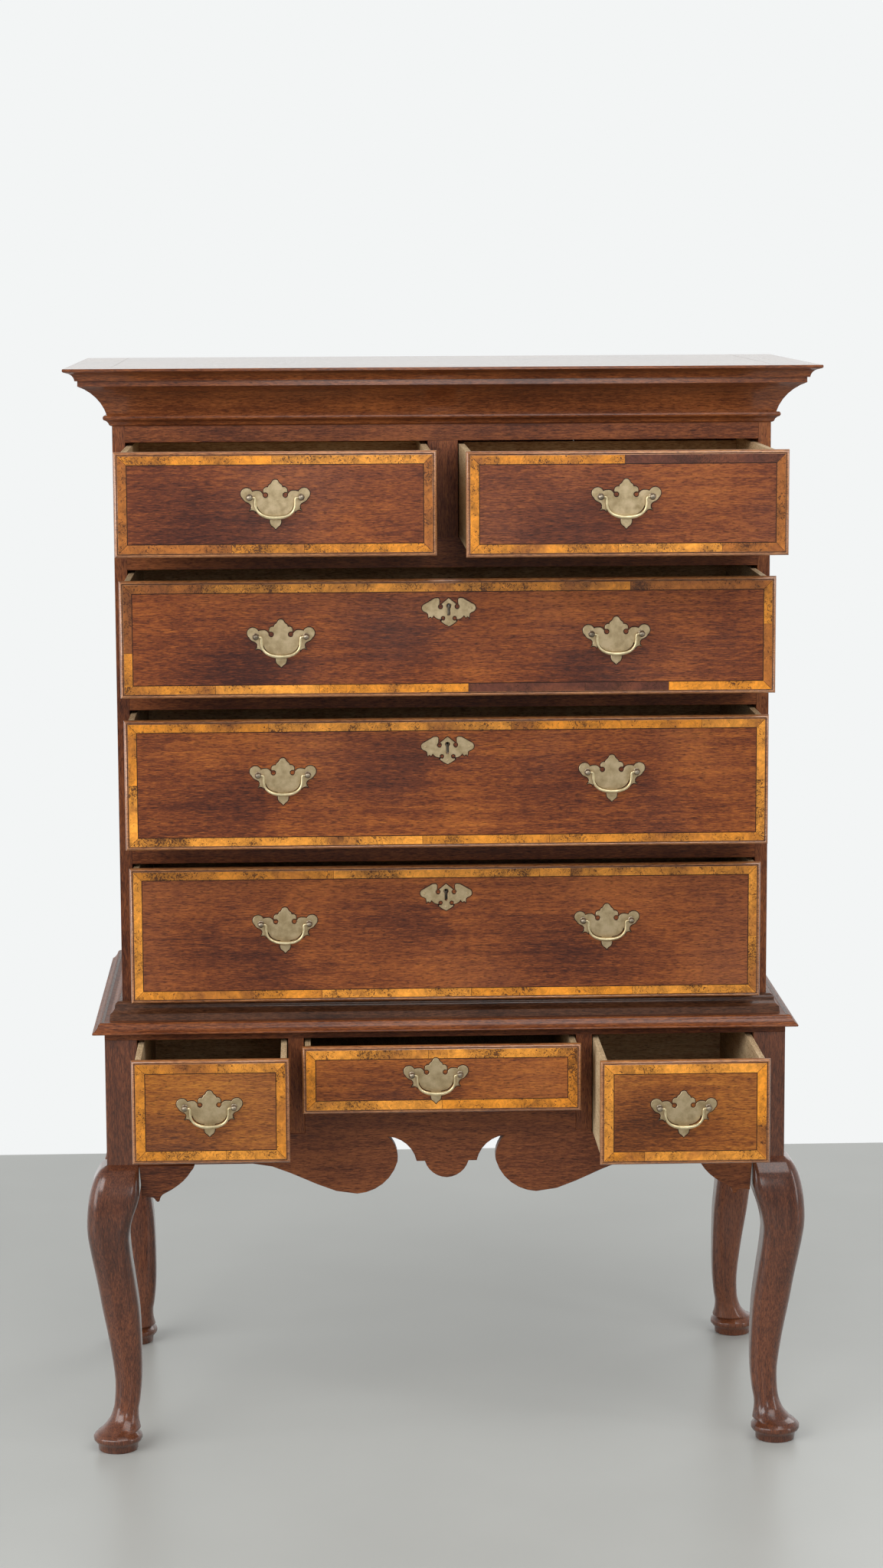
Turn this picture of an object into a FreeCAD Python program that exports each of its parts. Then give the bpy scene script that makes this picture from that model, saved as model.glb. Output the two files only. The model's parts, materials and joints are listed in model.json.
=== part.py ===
import FreeCAD, Part
import Sketcher
import math
import os
import re

# Highboy: an upper case of drawers on a lower stand with cabriole legs.
# Millimetres. X runs to the right, Y to the back, Z up. The origin is on the floor, below the
# middle of the whole, which is measured from the foremost handle to the backs of the rear knees.

V = FreeCAD.Vector
document = FreeCAD.newDocument("Highboy")
sheet = document.addObject("Spreadsheet::Sheet", "Sizes")

# Driving dimensions -------------------------------------------------------------------------
SIZES = {
    # upper case
    "case_width": 940,
    "case_depth": 518,
    "case_side": 18,
    "case_foot": 12.5,
    "case_bottom": 22,
    "case_top_board": 20,
    "rail_height": 43,
    "rail_depth": 70,
    "row_one_height": 138.5,
    "row_two_height": 159,
    "row_three_height": 181,
    "row_four_height": 193.5,
    "case_muntin": 43,
    "frieze_height": 23.5,
    "frieze_board": 20,
    "back_board": 12,
    "back_board_gap": 1,
    # mouldings
    "cornice_height": 82.5,
    "cornice_out": 65,
    "base_height": 27,
    "base_out": 18.1,
    "waist_height": 16,
    "waist_nose": 42,
    # stand
    "stand_out": 25.5,
    "stand_top_board": 27,
    "post": 47,
    "deep_opening": 146.5,
    "shallow_opening": 95,
    "muntin": 23,
    "muntin_left_at": -218.5,
    "muntin_right_at": 201,
    "muntin_foot": 5,
    "apron_board": 20,
    "apron_drop": 40,
    "apron_height": 431,
    "bracket_board": 26,
    "bracket_front": 5,
    # legs
    "knee_reach": 29.5,
    "knee_joint": 0.5,
    "foot_reach": 27.5,
    "foot_ring": 36,
    "foot_pad": 29,
    # runners and guides
    "runner_width": 22,
    "runner_height": 20,
    "guide_height": 40,
    # drawers
    "lip": 7,
    "lip_side": 2.5,
    "lip_top": 1,
    "lip_bottom": 3,
    "lip_round": 3.6,
    "lip_margin": 5.5,
    "lip_step": 0.8,
    "front_board": 14,
    "drawer_gap": 1.5,
    "running_gap": 0.3,
    "head_gap": 2,
    "drawer_side": 8.5,
    "drawer_side_drop": 5,
    "drawer_back": 9,
    "drawer_back_drop": 6,
    "drawer_bottom": 7,
    "drawer_bottom_lift": 7,
    "drawer_behind": 16,
    "tail_length": 10,
    "tail_spacing": 36,
    "tail_root": 15,
    "tail_tip": 21,
    # how far each drawer's face stands in front of the case or the stand
    "open_top_left": 280,
    "open_top_right": 315,
    "open_second": 192,
    "open_third": 126,
    "open_fourth": 48,
    "open_stand_left": 140,
    "open_stand_middle": 65,
    "open_stand_right": 180,
    # handles
    "plate": 2,
    "post_spacing": 69.5,
    "post_shank": 4.6,
    "post_ball": 4.6,
    "post_neck": 2.4,
    "post_reach": 8,
    "small_sides": 6,
    "hole_play": 0.1,
    "pin_radius": 1.25,
    "pin_play": 0.06,
    "pin_end_gap": 0.5,
    "nut": 10,
    "nut_height": 3,
    "bail_arm_at": 26.8,
    "bail_arm_radius": 1.4,
    "bail_grip_radius": 2.6,
    "bail_drop": 27,
    "handle_at": 232,
    "top_right_handle_aside": -2.5,
    "stand_left_handle_aside": -1.75,
    "stand_middle_handle_aside": -8.75,
    "stand_right_handle_aside": -2.5,
    "top_handle_shift": 10,
    "second_handle_shift": 4,
    "third_handle_shift": 14.5,
    "fourth_handle_shift": 17,
    "stand_handle_shift": 8,
    # locks
    "keyhole_down": 37.5,
    "lock_width": 62,
    "lock_height": 58,
    "lock_board": 11,
    "lock_wall": 2,
    "lock_pin": 1.5,
    "bolt_width": 24,
    "bolt_board": 4.5,
    "bolt_length": 22,
    "bolt_play": 0.15,
    "bolt_travel": 8,
    "mortise_play": 1.5,
}

# Places worked out from the driving dimensions ------------------------------------------------
PLACES = {
    "case_half": "case_width / 2",
    "opening_half": "case_half - case_side",
    "stand_half": "case_half + stand_out",
    "post_inner": "stand_half - post",
    # heights, from the floor up
    "deep_low": "apron_height + apron_drop",
    "stand_high": "deep_low + deep_opening",
    "shallow_low": "stand_high - shallow_opening",
    "case_low": "stand_high + stand_top_board",
    "row_four_low": "case_low + case_foot + case_bottom",
    "row_four_high": "row_four_low + row_four_height",
    "row_three_low": "row_four_high + rail_height",
    "row_three_high": "row_three_low + row_three_height",
    "row_two_low": "row_three_high + rail_height",
    "row_two_high": "row_two_low + row_two_height",
    "row_one_low": "row_two_high + rail_height",
    "row_one_high": "row_one_low + row_one_height",
    "cornice_low": "row_one_high + frieze_height",
    "case_high": "cornice_low + cornice_height",
    "board_low": "case_high - case_top_board",
    # depths, with the middle of the whole at zero
    "handle_reach": "plate + post_reach + post_ball",
    "whole_depth": "handle_reach + open_top_right + case_depth + knee_reach",
    "case_back": "whole_depth / 2 - knee_reach",
    "case_front": "case_back - case_depth",
    "stand_front": "case_front - stand_out",
    "case_inside_back": "case_back - back_board",
    "stand_inside_back": "case_back - apron_board",
    "rail_back": "case_front + rail_depth",
    "case_box_length": "case_depth - back_board - drawer_behind",
    "stand_box_length": "case_depth + stand_out - apron_board - drawer_behind",
    # the handle's parts, outwards from a drawer's face
    "pivot_out": "plate + post_reach",
    "lock_middle": "lip + front_board - lock_board / 2",
}


def full(text):
    """An expression with its places spelt out and each size read from the sheet."""
    def spell(match):
        word = match.group(0)
        if word in PLACES:
            return "(" + full(PLACES[word]) + ")"
        return "Sizes." + word if word in SIZES else word
    return re.sub(r"[a-z_]\w*", spell, str(text))


def value(text):
    """The number that an expression comes to."""
    if isinstance(text, (int, float)):
        return float(text)
    return float(sheet.evalExpression(full(text)))


for row, (alias, size) in enumerate(SIZES.items(), start=1):
    sheet.set(f"A{row}", alias)
    sheet.set(f"B{row}", str(size))
    sheet.setAlias(f"B{row}", alias)
document.recompute()

NODES = []


def node(label, *pieces):
    """Name a sub-part: one piece, or a group of separate pieces."""
    part = pieces[0]
    if len(pieces) > 1:
        part = document.addObject("Part::Compound", "Group")
        part.Links = list(pieces)
    part.Label = label
    NODES.append(part)
    return part


# Plain pieces and booleans ----------------------------------------------------------------------
def box(low, high):
    """A square-edged piece between two corners, each of three expressions."""
    piece = document.addObject("Part::Box", "Board")
    for side, axis, start, end in zip(("Length", "Width", "Height"), "xyz", low, high):
        piece.setExpression(side, full(f"({end}) - ({start})"))
        piece.setExpression("Placement.Base." + axis, full(start))
    return piece


def bar(radius, length, at, axis):
    """A small round bar, with a few flats, that runs along an axis from a place."""
    piece = document.addObject("Part::Prism", "Bar")
    piece.Placement.Rotation = FreeCAD.Rotation(V(0, 0, 1), axis)
    piece.setExpression("Polygon", full("small_sides"))
    piece.setExpression("Circumradius", full(radius))
    piece.setExpression("Height", full(length))
    for letter, place in zip("xyz", at):
        piece.setExpression("Placement.Base." + letter, full(place))
    return piece


def skinned(name, rings):
    """A piece drawn through rings of as many corners each, which are joined by flat facets."""
    outlines = [rings[0], rings[-1]]
    for near, far in zip(rings, rings[1:]):
        for index in range(len(near)):
            after = (index + 1) % len(near)
            a, b, c, d = near[index], near[after], far[after], far[index]
            normal = (b - a).cross(c - a)
            if abs((d - a).dot(normal)) < 1e-7 * normal.Length:
                outlines.append([a, b, c, d])
            else:
                outlines += [[a, b, c], [a, c, d]]
    faces = [Part.Face(Part.makePolygon(outline + outline[:1])) for outline in outlines]
    shell = Part.Shell(faces)
    shell.sewShape()
    if Part.Solid(shell).Volume < 0:
        shell.reverse()
    piece = document.addObject("Part::Feature", name)
    piece.Shape = Part.Solid(shell)
    return piece


def faceted(name, stations, at):
    """A small rod or turning with a few flats. Each ring along it has its centre, the turn of
    its normal about an axis and its radius."""
    sides = int(value("small_sides"))
    step = 2 * math.pi / sides
    rings = []
    for centre, axis, turn, radius in stations:
        place = FreeCAD.Placement(centre, FreeCAD.Rotation(axis, turn))
        rings.append([place.multVec(V(radius * math.cos((index + 0.5) * step),
                                      radius * math.sin((index + 0.5) * step), 0))
                      for index in range(sides)])
    piece = skinned(name, rings)
    for letter, place in zip("xyz", at):
        piece.setExpression("Placement.Base." + letter, full(place))
    return piece


def fuse(*pieces):
    """Pieces joined into one solid."""
    joined = document.addObject("Part::MultiFuse", "Joined")
    joined.Shapes = list(pieces)
    joined.Refine = True
    return joined


def cut(piece, *tools):
    """A piece with others taken out of it."""
    tool = tools[0]
    if len(tools) > 1:
        tool = document.addObject("Part::Compound", "Tools")
        tool.Links = list(tools)
    rest = document.addObject("Part::Cut", "Rest")
    rest.Base = piece
    rest.Tool = tool
    return rest


# Sketched pieces --------------------------------------------------------------------------------
def drawing_on(body, role, away="0"):
    """A sketch on one of a body's own planes, moved along that plane's normal."""
    drawing = body.newObject("Sketcher::SketchObject", "Outline")
    plane = next(item for item in body.Origin.OriginFeatures if item.Role == role)
    drawing.AttachmentSupport = [(plane, "")]
    drawing.MapMode = "FlatFace"
    drawing.setExpression("AttachmentOffset.Base.z", full(away))
    return drawing


def rectangle(drawing, left, low, right, high):
    """A rectangle whose four sides are tied to expressions."""
    first = drawing.GeometryCount
    x0, y0, x1, y1 = (value(item) for item in (left, low, right, high))
    corners = [V(x0, y0, 0), V(x1, y0, 0), V(x1, y1, 0), V(x0, y1, 0)]
    for index in range(4):
        drawing.addGeometry(Part.LineSegment(corners[index], corners[(index + 1) % 4]))
    for index in range(4):
        after = first + (index + 1) % 4
        drawing.addConstraint(Sketcher.Constraint("Coincident", first + index, 2, after, 1))
        kind = "Horizontal" if index % 2 == 0 else "Vertical"
        drawing.addConstraint(Sketcher.Constraint(kind, first + index))
    ties = (("DistanceX", first, left, x0), ("DistanceY", first, low, y0),
            ("DistanceX", first + 2, right, x1), ("DistanceY", first + 2, high, y1))
    for kind, line, text, size in ties:
        tie = drawing.addConstraint(Sketcher.Constraint(kind, -1, 1, line, 1, size))
        drawing.setExpression(f"Constraints[{tie}]", full(text))


def trace(drawing, path):
    """A closed outline. A pair is the end of a straight line; four numbers are an arc's middle
    and its end."""
    points = [tuple(value(item) for item in step) for step in path]
    here = V(points[0][0], points[0][1], 0)
    start = here
    for step in points[1:] + [points[0]]:
        end = V(step[-2], step[-1], 0)
        if (end - here).Length > 1e-6:
            if len(step) == 4:
                edge = Part.Arc(here, V(step[0], step[1], 0), end)
            else:
                edge = Part.LineSegment(here, end)
            drawing.addGeometry(edge)
        here = end
        if here.isEqual(start, 1e-6):
            break


def mirrored(half):
    """A whole outline from its right half, which runs from the top middle to the bottom middle."""
    steps = [tuple(value(item) for item in step) for step in half]
    back = []
    for index in range(len(steps) - 1, 0, -1):
        step, end = steps[index], steps[index - 1]
        if len(step) == 4:
            back.append((-step[0], step[1], -end[-2], end[-1]))
        else:
            back.append((-end[-2], end[-1]))
    return steps + back


def placed(path, across, up):
    """An outline moved to its place."""
    moved = []
    for step in path:
        pairs = zip(step[0::2], step[1::2])
        moved.append(tuple(item for x, y in pairs for item in (x + across, y + up)))
    return moved


def padded(draw, role, away, length, backwards=False):
    """A body made by one pad of an outline."""
    body = document.addObject("PartDesign::Body", "Body")
    drawing = drawing_on(body, role, away)
    draw(drawing)
    pad = body.newObject("PartDesign::Pad", "Pad")
    pad.Profile = drawing
    pad.setExpression("Length", full(length))
    pad.Reversed = backwards
    return body


# Mitred mouldings: a front length and two returns -----------------------------------------------
def moulding(label, profile, reach, low):
    """Three lengths of one profile, which is drawn outwards from the case's face, upwards from
    a height. They meet in mitres at the front corners."""
    steps = [tuple(value(item) for item in step) for step in profile]
    base, front, half = value(low), value("case_front"), value("case_half")
    beyond = value(reach) + 1

    def turned(sign, origin):
        """The profile with its outward direction along the sketch's first axis."""
        result = []
        for step in steps:
            pairs = zip(step[0::2], step[1::2])
            result.append(tuple(n for p, z in pairs for n in (origin + sign * p, base + z)))
        return result

    def mitre(body, corners):
        """Cut one end of a length through at the mitre."""
        knife = drawing_on(body, "XY_Plane")
        trace(knife, corners)
        pocket = body.newObject("PartDesign::Pocket", "Mitre")
        pocket.Profile = knife
        pocket.Type = 1
        pocket.Midplane = True

    lengths = [padded(lambda d: trace(d, turned(-1, front)), "YZ_Plane", "0",
                      f"case_width + 2 * ({reach})")]
    lengths[0].Group[-1].Midplane = True
    for side in (1, -1):
        corner, tip = (side * half, front), (side * (half + beyond), front - beyond)
        mitre(lengths[0], [corner, tip, (side * (half + beyond), front)])
        length = padded(lambda d: trace(d, turned(side, side * half)), "XZ_Plane",
                        f"{reach} - case_front", f"case_depth + {reach}", True)
        mitre(length, [corner, tip, (side * half, front - beyond)])
        lengths.append(length)
    return node(label, *lengths)


CORNICE = [
    (0, 0), (0.8, 0.1),
    (2.4, 0.7, 3.8, 1.8), (6.3, 6.2, 10.5, 8.7),
    (12.2, 11.9, 10.4, 15.1), (6.5, 15.2),
    (18.8, "cornice_height - 44", 45.1, "cornice_height - 24.8"),
    (45, "cornice_height - 17.7"), (48.8, "cornice_height - 17.3"),
    (51.6, "cornice_height - 10.4", "cornice_out - 7", "cornice_height - 6.3"),
    ("cornice_out - 1.5", "cornice_height - 4.6"),
    ("cornice_out", "cornice_height - 3.4"), ("cornice_out", "cornice_height"),
    (0, "cornice_height"),
]
BASE = [
    (0, 0), ("base_out", 0), ("base_out - 1", "base_height - 17"),
    (12, "base_height - 12", 10.4, "base_height - 8"),
    (8.6, "base_height - 2.2", 4.5, "base_height"), (0, "base_height"),
]
WAIST = [
    ("stand_out", 0), (40.7, 0), ("waist_nose + 0.4", 1.4, "waist_nose", 3),
    (36.6, 7.6, "waist_nose - 7.5", 11), (32.6, 14.8, 28, "waist_height"),
    ("stand_out", "waist_height"),
]
moulding("cornice_moulding", CORNICE, "cornice_out", "cornice_low")
moulding("base_moulding", BASE, "base_out", "case_low")
moulding("waist_moulding", WAIST, "waist_nose", "case_low - waist_height")


# Upper case -------------------------------------------------------------------------------------
def upper_case():
    """Boards of the upper case: sides, top, bottom, back, rails and the upright between the two
    top drawers. The rails above the long drawers have mortises for the locks' bolts."""
    node("case_top_board", box(("-case_half", "case_front", "board_low"),
                               ("case_half", "case_back", "case_high")))
    for label, near, far in (("case_side_left", "-case_half", "-opening_half"),
                             ("case_side_right", "opening_half", "case_half")):
        node(label, box((near, "case_front", "case_low"), (far, "case_back", "board_low")))
    node("case_bottom_board", box(("-opening_half", "case_front", "case_low + case_foot"),
                                  ("opening_half", "case_inside_back", "row_four_low")))
    boards = []
    count = 4
    for index in range(count):
        left = f"-opening_half + opening_half * 2 / {count} * {index}"
        right = f"-opening_half + opening_half * 2 / {count} * {index + 1}"
        inset = "back_board_gap" if index < count - 1 else "0"
        boards.append(box((left, "case_inside_back", "case_low"),
                          (f"{right} - {inset}", "case_back", "board_low")))
    node("case_back_boards", *boards)
    rails = [box(("-opening_half", "case_front", "row_one_high"),
                 ("opening_half", "case_front + frieze_board", "board_low"))]
    for low in ("row_two_high", "row_three_high", "row_four_high"):
        board = box(("-opening_half", "case_front", low),
                    ("opening_half", "rail_back", f"{low} + rail_height"))
        half_width = "(bolt_width / 2 + mortise_play)"
        half_depth = "(bolt_board / 2 + mortise_play)"
        middle = "case_front - lip + lock_middle"
        mortise = box((f"-{half_width}", f"{middle} - {half_depth}", f"{low} - 1"),
                      (half_width, f"{middle} + {half_depth}", f"{low} + bolt_travel + 1"))
        rails.append(cut(board, mortise))
    node("case_rails", *rails)
    node("case_muntin", box(("-case_muntin / 2", "case_front", "row_one_low"),
                            ("case_muntin / 2", "rail_back", "row_one_high")))


def case_runners():
    """Strips that the upper drawers run on, the guide between the two top drawers, and the
    kickers above these, which stop a drawn drawer from tipping."""
    strips = []
    for low in ("row_three_low", "row_two_low", "row_one_low"):
        for left, right in (("-opening_half", "-opening_half + runner_width"),
                            ("opening_half - runner_width", "opening_half")):
            strips.append(box((left, "rail_back", f"{low} - runner_height"),
                              (right, "case_inside_back", low)))
    for left, right in (("-opening_half", "-opening_half + runner_width"),
                        ("opening_half - runner_width", "opening_half")):
        strips.append(box((left, "case_front + frieze_board", "row_one_high"),
                          (right, "case_inside_back", "row_one_high + runner_height")))
    strips.append(box(("-case_muntin / 2 - runner_width", "rail_back",
                       "row_one_low - runner_height"),
                      ("case_muntin / 2 + runner_width", "case_inside_back", "row_one_low")))
    strips.append(box(("-case_muntin / 2", "rail_back", "row_one_low"),
                      ("case_muntin / 2", "case_inside_back", "row_one_low + guide_height")))
    node("case_runners", *strips)


# Stand ------------------------------------------------------------------------------------------
def stand_frame():
    """Top board, side and back boards, and the uprights between the stand's drawers."""
    node("stand_top_board", box(("-stand_half", "stand_front", "stand_high"),
                                ("stand_half", "case_back", "case_low")))
    sides = []
    for left, right in (("-stand_half", "-stand_half + apron_board"),
                        ("stand_half - apron_board", "stand_half")):
        sides.append(box((left, "stand_front + post", "apron_height"),
                         (right, "case_back - post", "stand_high")))
    node("stand_side_boards", *sides)
    node("stand_back_board", box(("-post_inner", "stand_inside_back", "apron_height"),
                                 ("post_inner", "case_back", "stand_high")))
    uprights = []
    for middle in ("muntin_left_at", "muntin_right_at"):
        uprights.append(box((f"{middle} - muntin / 2", "stand_front", "deep_low + muntin_foot"),
                            (f"{middle} + muntin / 2", "stand_front + apron_board",
                             "stand_high")))
    node("stand_muntins", *uprights)


def stand_runners():
    """Runners and guides of the three lower drawers, and the two partitions that carry them."""
    strips = []
    front, back = "stand_front + apron_board", "stand_inside_back"
    for side in (-1, 1):
        edges = sorted(("stand_half - apron_board", "post_inner - runner_width"), key=value)
        left, right = edges if side > 0 else (f"-({edges[1]})", f"-({edges[0]})")
        strips.append(box((left, "stand_front + post", "deep_low - runner_height"),
                          (right, "case_back - post", "deep_low")))
        edges = ("post_inner", "stand_half - apron_board")
        left, right = edges if side > 0 else (f"-({edges[1]})", f"-({edges[0]})")
        strips.append(box((left, "stand_front + post", "deep_low"),
                          (right, "case_back - post", "deep_low + guide_height")))
    for middle, outwards in (("muntin_left_at", -1), ("muntin_right_at", 1)):
        strips.append(box((f"{middle} - muntin / 2", front, "deep_low - runner_height"),
                          (f"{middle} + muntin / 2", back, "stand_high")))
        for sign, high in ((outwards, "deep_low"), (-outwards, "shallow_low")):
            near = f"{middle} + {sign} * muntin / 2"
            far = f"{near} + {sign} * runner_width"
            left, right = (near, far) if sign > 0 else (far, near)
            strips.append(box((left, front, f"{high} - runner_height"), (right, back, high)))
    node("stand_runners", *strips)


def apron():
    """The front apron: it rises under the shallow drawer, and its lower edge has a pendant
    between two hooks and two deep scrolls."""
    flat, deep = value("apron_height"), value("deep_low")
    inner = value("post_inner")
    left_out = value("muntin_left_at - muntin / 2")
    left_in = value("muntin_left_at + muntin / 2")
    right_in = value("muntin_right_at - muntin / 2")
    right_out = value("muntin_right_at + muntin / 2")
    shoulder, shallow = deep + value("muntin_foot"), value("shallow_low")
    scroll = [
        (inner, 0), (283, 0), (252, -5.5, 228, -15), (163, -43),
        (154, -47.5, 145, -49.5), (124, -48.5, 105, -41), (85, -23, 74, 6),
        (77.5, 26, 85.3, 39), (66, 21.5, 44, 0.5), (32, 0.5), (17.5, -19, 0, -24.5),
    ]
    lower = placed(mirrored(scroll), 0, flat)
    upper = [(-inner, deep), (left_out, deep), (left_out, shoulder), (left_in, shoulder),
             (left_in, shallow), (right_in, shallow), (right_in, shoulder),
             (right_out, shoulder), (right_out, deep), (inner, deep)]
    node("apron_front", padded(lambda d: trace(d, lower + upper), "XZ_Plane", "-stand_front",
                               "apron_board", True))


def knee_brackets():
    """Shaped brackets under the apron and the side boards, glued against the legs."""
    flat = value("apron_height")
    wide = value("stand_half")
    shape = [(0, 0), (-80.5, 0), (-76.5, -8), (-65, -28, -47.5, -39.5), (-26.5, -54),
             (-19, -51.5, -15.5, -48), (-8, -47.5, 0, -50)]
    brackets = []

    def turned(sign, origin):
        """The shape with the leg on the side that the sign gives."""
        pairs = [zip(step[0::2], step[1::2]) for step in shape]
        return [tuple(n for x, z in pair for n in (origin + sign * x, flat + z))
                for pair in pairs]

    for side in (-1, 1):
        outline = turned(side, side * value("post_inner"))
        brackets.append(padded(lambda d: trace(d, outline), "XZ_Plane",
                               "bracket_front - stand_front", "bracket_board", True))
        ends = ((-1, value("stand_front + post")), (1, value("case_back - post")))
        for sign, place in ends:
            outline = turned(sign, place)
            away = "stand_half + bracket_front - bracket_board" if side > 0 else \
                "-stand_half - bracket_front"
            brackets.append(padded(lambda d: trace(d, outline), "YZ_Plane", away,
                                   "bracket_board"))
    node("knee_brackets", *brackets)


# Cabriole legs ----------------------------------------------------------------------------------
# Each section is a rounded square: its height, how far its outer sides stand beyond the post's
# outer faces, how far its inner sides have moved outwards from the post's inner faces, and the
# radii of its outer, side and inner corners. Those of the knee hang from the apron's lower edge
# and those of the ankle stand on the floor, so the shank takes up any change of height.
KNEE = [
    ("apron_height - 0.5", 0.4, 0, 2, 2, 2),
    ("apron_height - 8", 7.5, "knee_joint", 9, 5, 2),
    ("apron_height - 23", 15.5, "knee_joint", 16, 9, 3),
    ("apron_height - 46", 22.5, "knee_joint + 0.4", 20, 13, 4),
    ("apron_height - 81", "knee_reach", 12, 22, 15, 6),
    ("apron_height - 109", "knee_reach", 15.8, 22, 15, 7),
    ("apron_height - 182", 17.5, 8, 21, 15, 9),
    ("apron_height - 219", 11, 3.9, 21, 15, 10),
]
ANKLE = [
    (166, 3, 2, 19, 15, 11),
    (127, -2.5, 1.6, 18, 15, 12),
    (99, -5, 2.6, 17, 15, 13),
    (71, -4, 5.6, 17, 16, 14),
    (57, -1.5, 8, 18, 17, 16),
    (43, 4.5, 7.6, 21, 20.5, 20),
    (28, 17.5, 5.5, 28.5, 28.5, 28.5),
]
FOOT = [(0, 28), (0, 0), ("foot_pad", 0), ("foot_pad + 0.5", 9), ("foot_ring - 0.8", 14),
        ("foot_ring", 17), ("foot_ring", 21), ("foot_ring - 6.9", 28)]


CORNER_FLATS = 3


def rounded_square(low, high, outer, side, inner):
    """A square from an inner corner at low to an outer corner at high, in both directions. Each
    corner is shaved to a few flats, whose directions are the same in every section, so that
    the leg's facets are true planes."""
    corners = [(low, low, 180, inner), (high, low, 270, side),
               (high, high, 0, outer), (low, high, 90, side)]
    path = []
    for x, y, start, radius in corners:
        radius = min(radius, (high - low) / 2 - 0.5)
        centre_x = x + radius if x == low else x - radius
        centre_y = y + radius if y == low else y - radius
        for index in range(CORNER_FLATS + 1):
            turn = math.radians(start + 90 * index / CORNER_FLATS)
            path.append((centre_x + radius * math.cos(turn), centre_y + radius * math.sin(turn)))
    return path


def leg(label, side, face, end):
    """One leg in one piece: square post, knee, shank, ankle and turned pad foot. Its outer
    faces are on the side and at the end that the signs give."""
    size = value("post")

    def faces(outer, sign):
        """The post's two faces across one axis, from its outer face."""
        return sorted((outer, f"{outer} - {sign} * post"), key=value)

    (left, right), (near, far) = faces(f"{side} * stand_half", side), faces(face, end)
    post = box((left, near, KNEE[0][0]), (right, far, "stand_high"))
    rings = []
    for height, outer, inner, *radii in KNEE + ANKLE:
        section = rounded_square(value(inner) - size, value(outer), *radii)
        rings.append([V(side * (value("stand_half") + u), value(face) + end * v, value(height))
                      for u, v in section])
    foot = document.addObject("PartDesign::Body", "Foot")
    profile = drawing_on(foot, "XZ_Plane", f"-({face} + {end} * (foot_reach - foot_ring))")
    profile.setExpression("AttachmentOffset.Base.x",
                          full(f"{side} * (stand_half + foot_reach - foot_ring)"))
    trace(profile, FOOT)
    turning = foot.newObject("PartDesign::Revolution", "Pad")
    turning.Profile = profile
    turning.ReferenceAxis = (profile, ["V_Axis"])
    turning.Angle = 360
    return node(label, fuse(post, skinned("Cabriole", rings), foot))


# Drawers ----------------------------------------------------------------------------------------
# The outlines of the thin brass plates are cut in short flats, because there are many of them.
PLATE = [
    (0, 23.5), (4.6, 21.6), (8.9, 13), (13.6, 12), (15.9, 6.6), (10.8, 4.6), (10.4, -0.2),
    (16.4, 0.4), (18.4, 6.6), (24, 8.8), (31.3, 7.2), (36.2, 12), (44.6, 9.6), (46, 0.6),
    (37.5, -7.2), (32.9, -12), (35.6, -19), (30.6, -17.6), (27, -20.3), (24.3, -12.2),
    (20, -20), (11, -24.6), (7.6, -24.8), (7.6, -31), (5, -38), (0, -43.4),
]
ESCUTCHEON = [
    (0, 11), (9.5, 3.2), (8, -1.8), (12.6, -4.3), (15, -0.4), (13.2, 10),
    (19.5, 10.8), (33, 3), (37.1, -2), (28.9, -10.6), (28, -16.5),
    (25.8, -14.6), (23.5, -16.5), (20.8, -13), (12.3, -18.5), (9.8, -14.2), (5.6, -15.4),
    (9.5, -19.7), (10.3, -21.8), (0, -28.3),
]
KEYHOLE = [(0, 3.5), (2.5, 2.5), (3.5, 0), (2.1, -2.8), (2.1, -12.2), (0, -13.6)]
DRAWER_HEIGHTS = {
    "top": ("row_one_low", "row_one_high"),
    "second": ("row_two_low", "row_two_high"),
    "third": ("row_three_low", "row_three_high"),
    "fourth": ("row_four_low", "row_four_high"),
    "deep": ("deep_low", "stand_high"),
    "shallow": ("shallow_low", "stand_high"),
}


def front_board(left, right, low, high, face):
    """A drawer's front before its cuts: the lip with a rounded edge, the raised field inside it
    and the board that enters the opening."""
    body = document.addObject("PartDesign::Body", "Front")
    lip_plane = f"-({face} + lip)"
    lip_sides = (f"{left} - lip_side", f"{low} - lip_bottom", f"{right} + lip_side",
                 f"{high} + lip_top")
    edge = drawing_on(body, "XZ_Plane", lip_plane)
    rectangle(edge, *lip_sides)
    pad = body.newObject("PartDesign::Pad", "Lip")
    pad.Profile = edge
    pad.setExpression("Length", full("lip - lip_step"))
    document.recompute()
    faces = pad.Shape.Faces
    foremost = min(range(len(faces)), key=lambda index: faces[index].CenterOfMass.y)
    rounding = body.newObject("PartDesign::Fillet", "Edge")
    rounding.Base = (pad, [f"Face{foremost + 1}"])
    rounding.setExpression("Radius", full("lip_round"))
    field = drawing_on(body, "XZ_Plane", lip_plane)
    rectangle(field, f"{lip_sides[0]} + lip_margin", f"{lip_sides[1]} + lip_margin",
              f"{lip_sides[2]} - lip_margin", f"{lip_sides[3]} - lip_margin")
    raised = body.newObject("PartDesign::Pad", "Field")
    raised.Profile = field
    raised.setExpression("Length", full("lip"))
    block = drawing_on(body, "XZ_Plane", lip_plane)
    rectangle(block, f"{left} + drawer_gap", f"{low} + running_gap", f"{right} - drawer_gap",
              f"{high} - head_gap")
    entering = body.newObject("PartDesign::Pad", "Board")
    entering.Profile = block
    entering.setExpression("Length", full("front_board"))
    entering.Reversed = True
    return body


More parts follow.
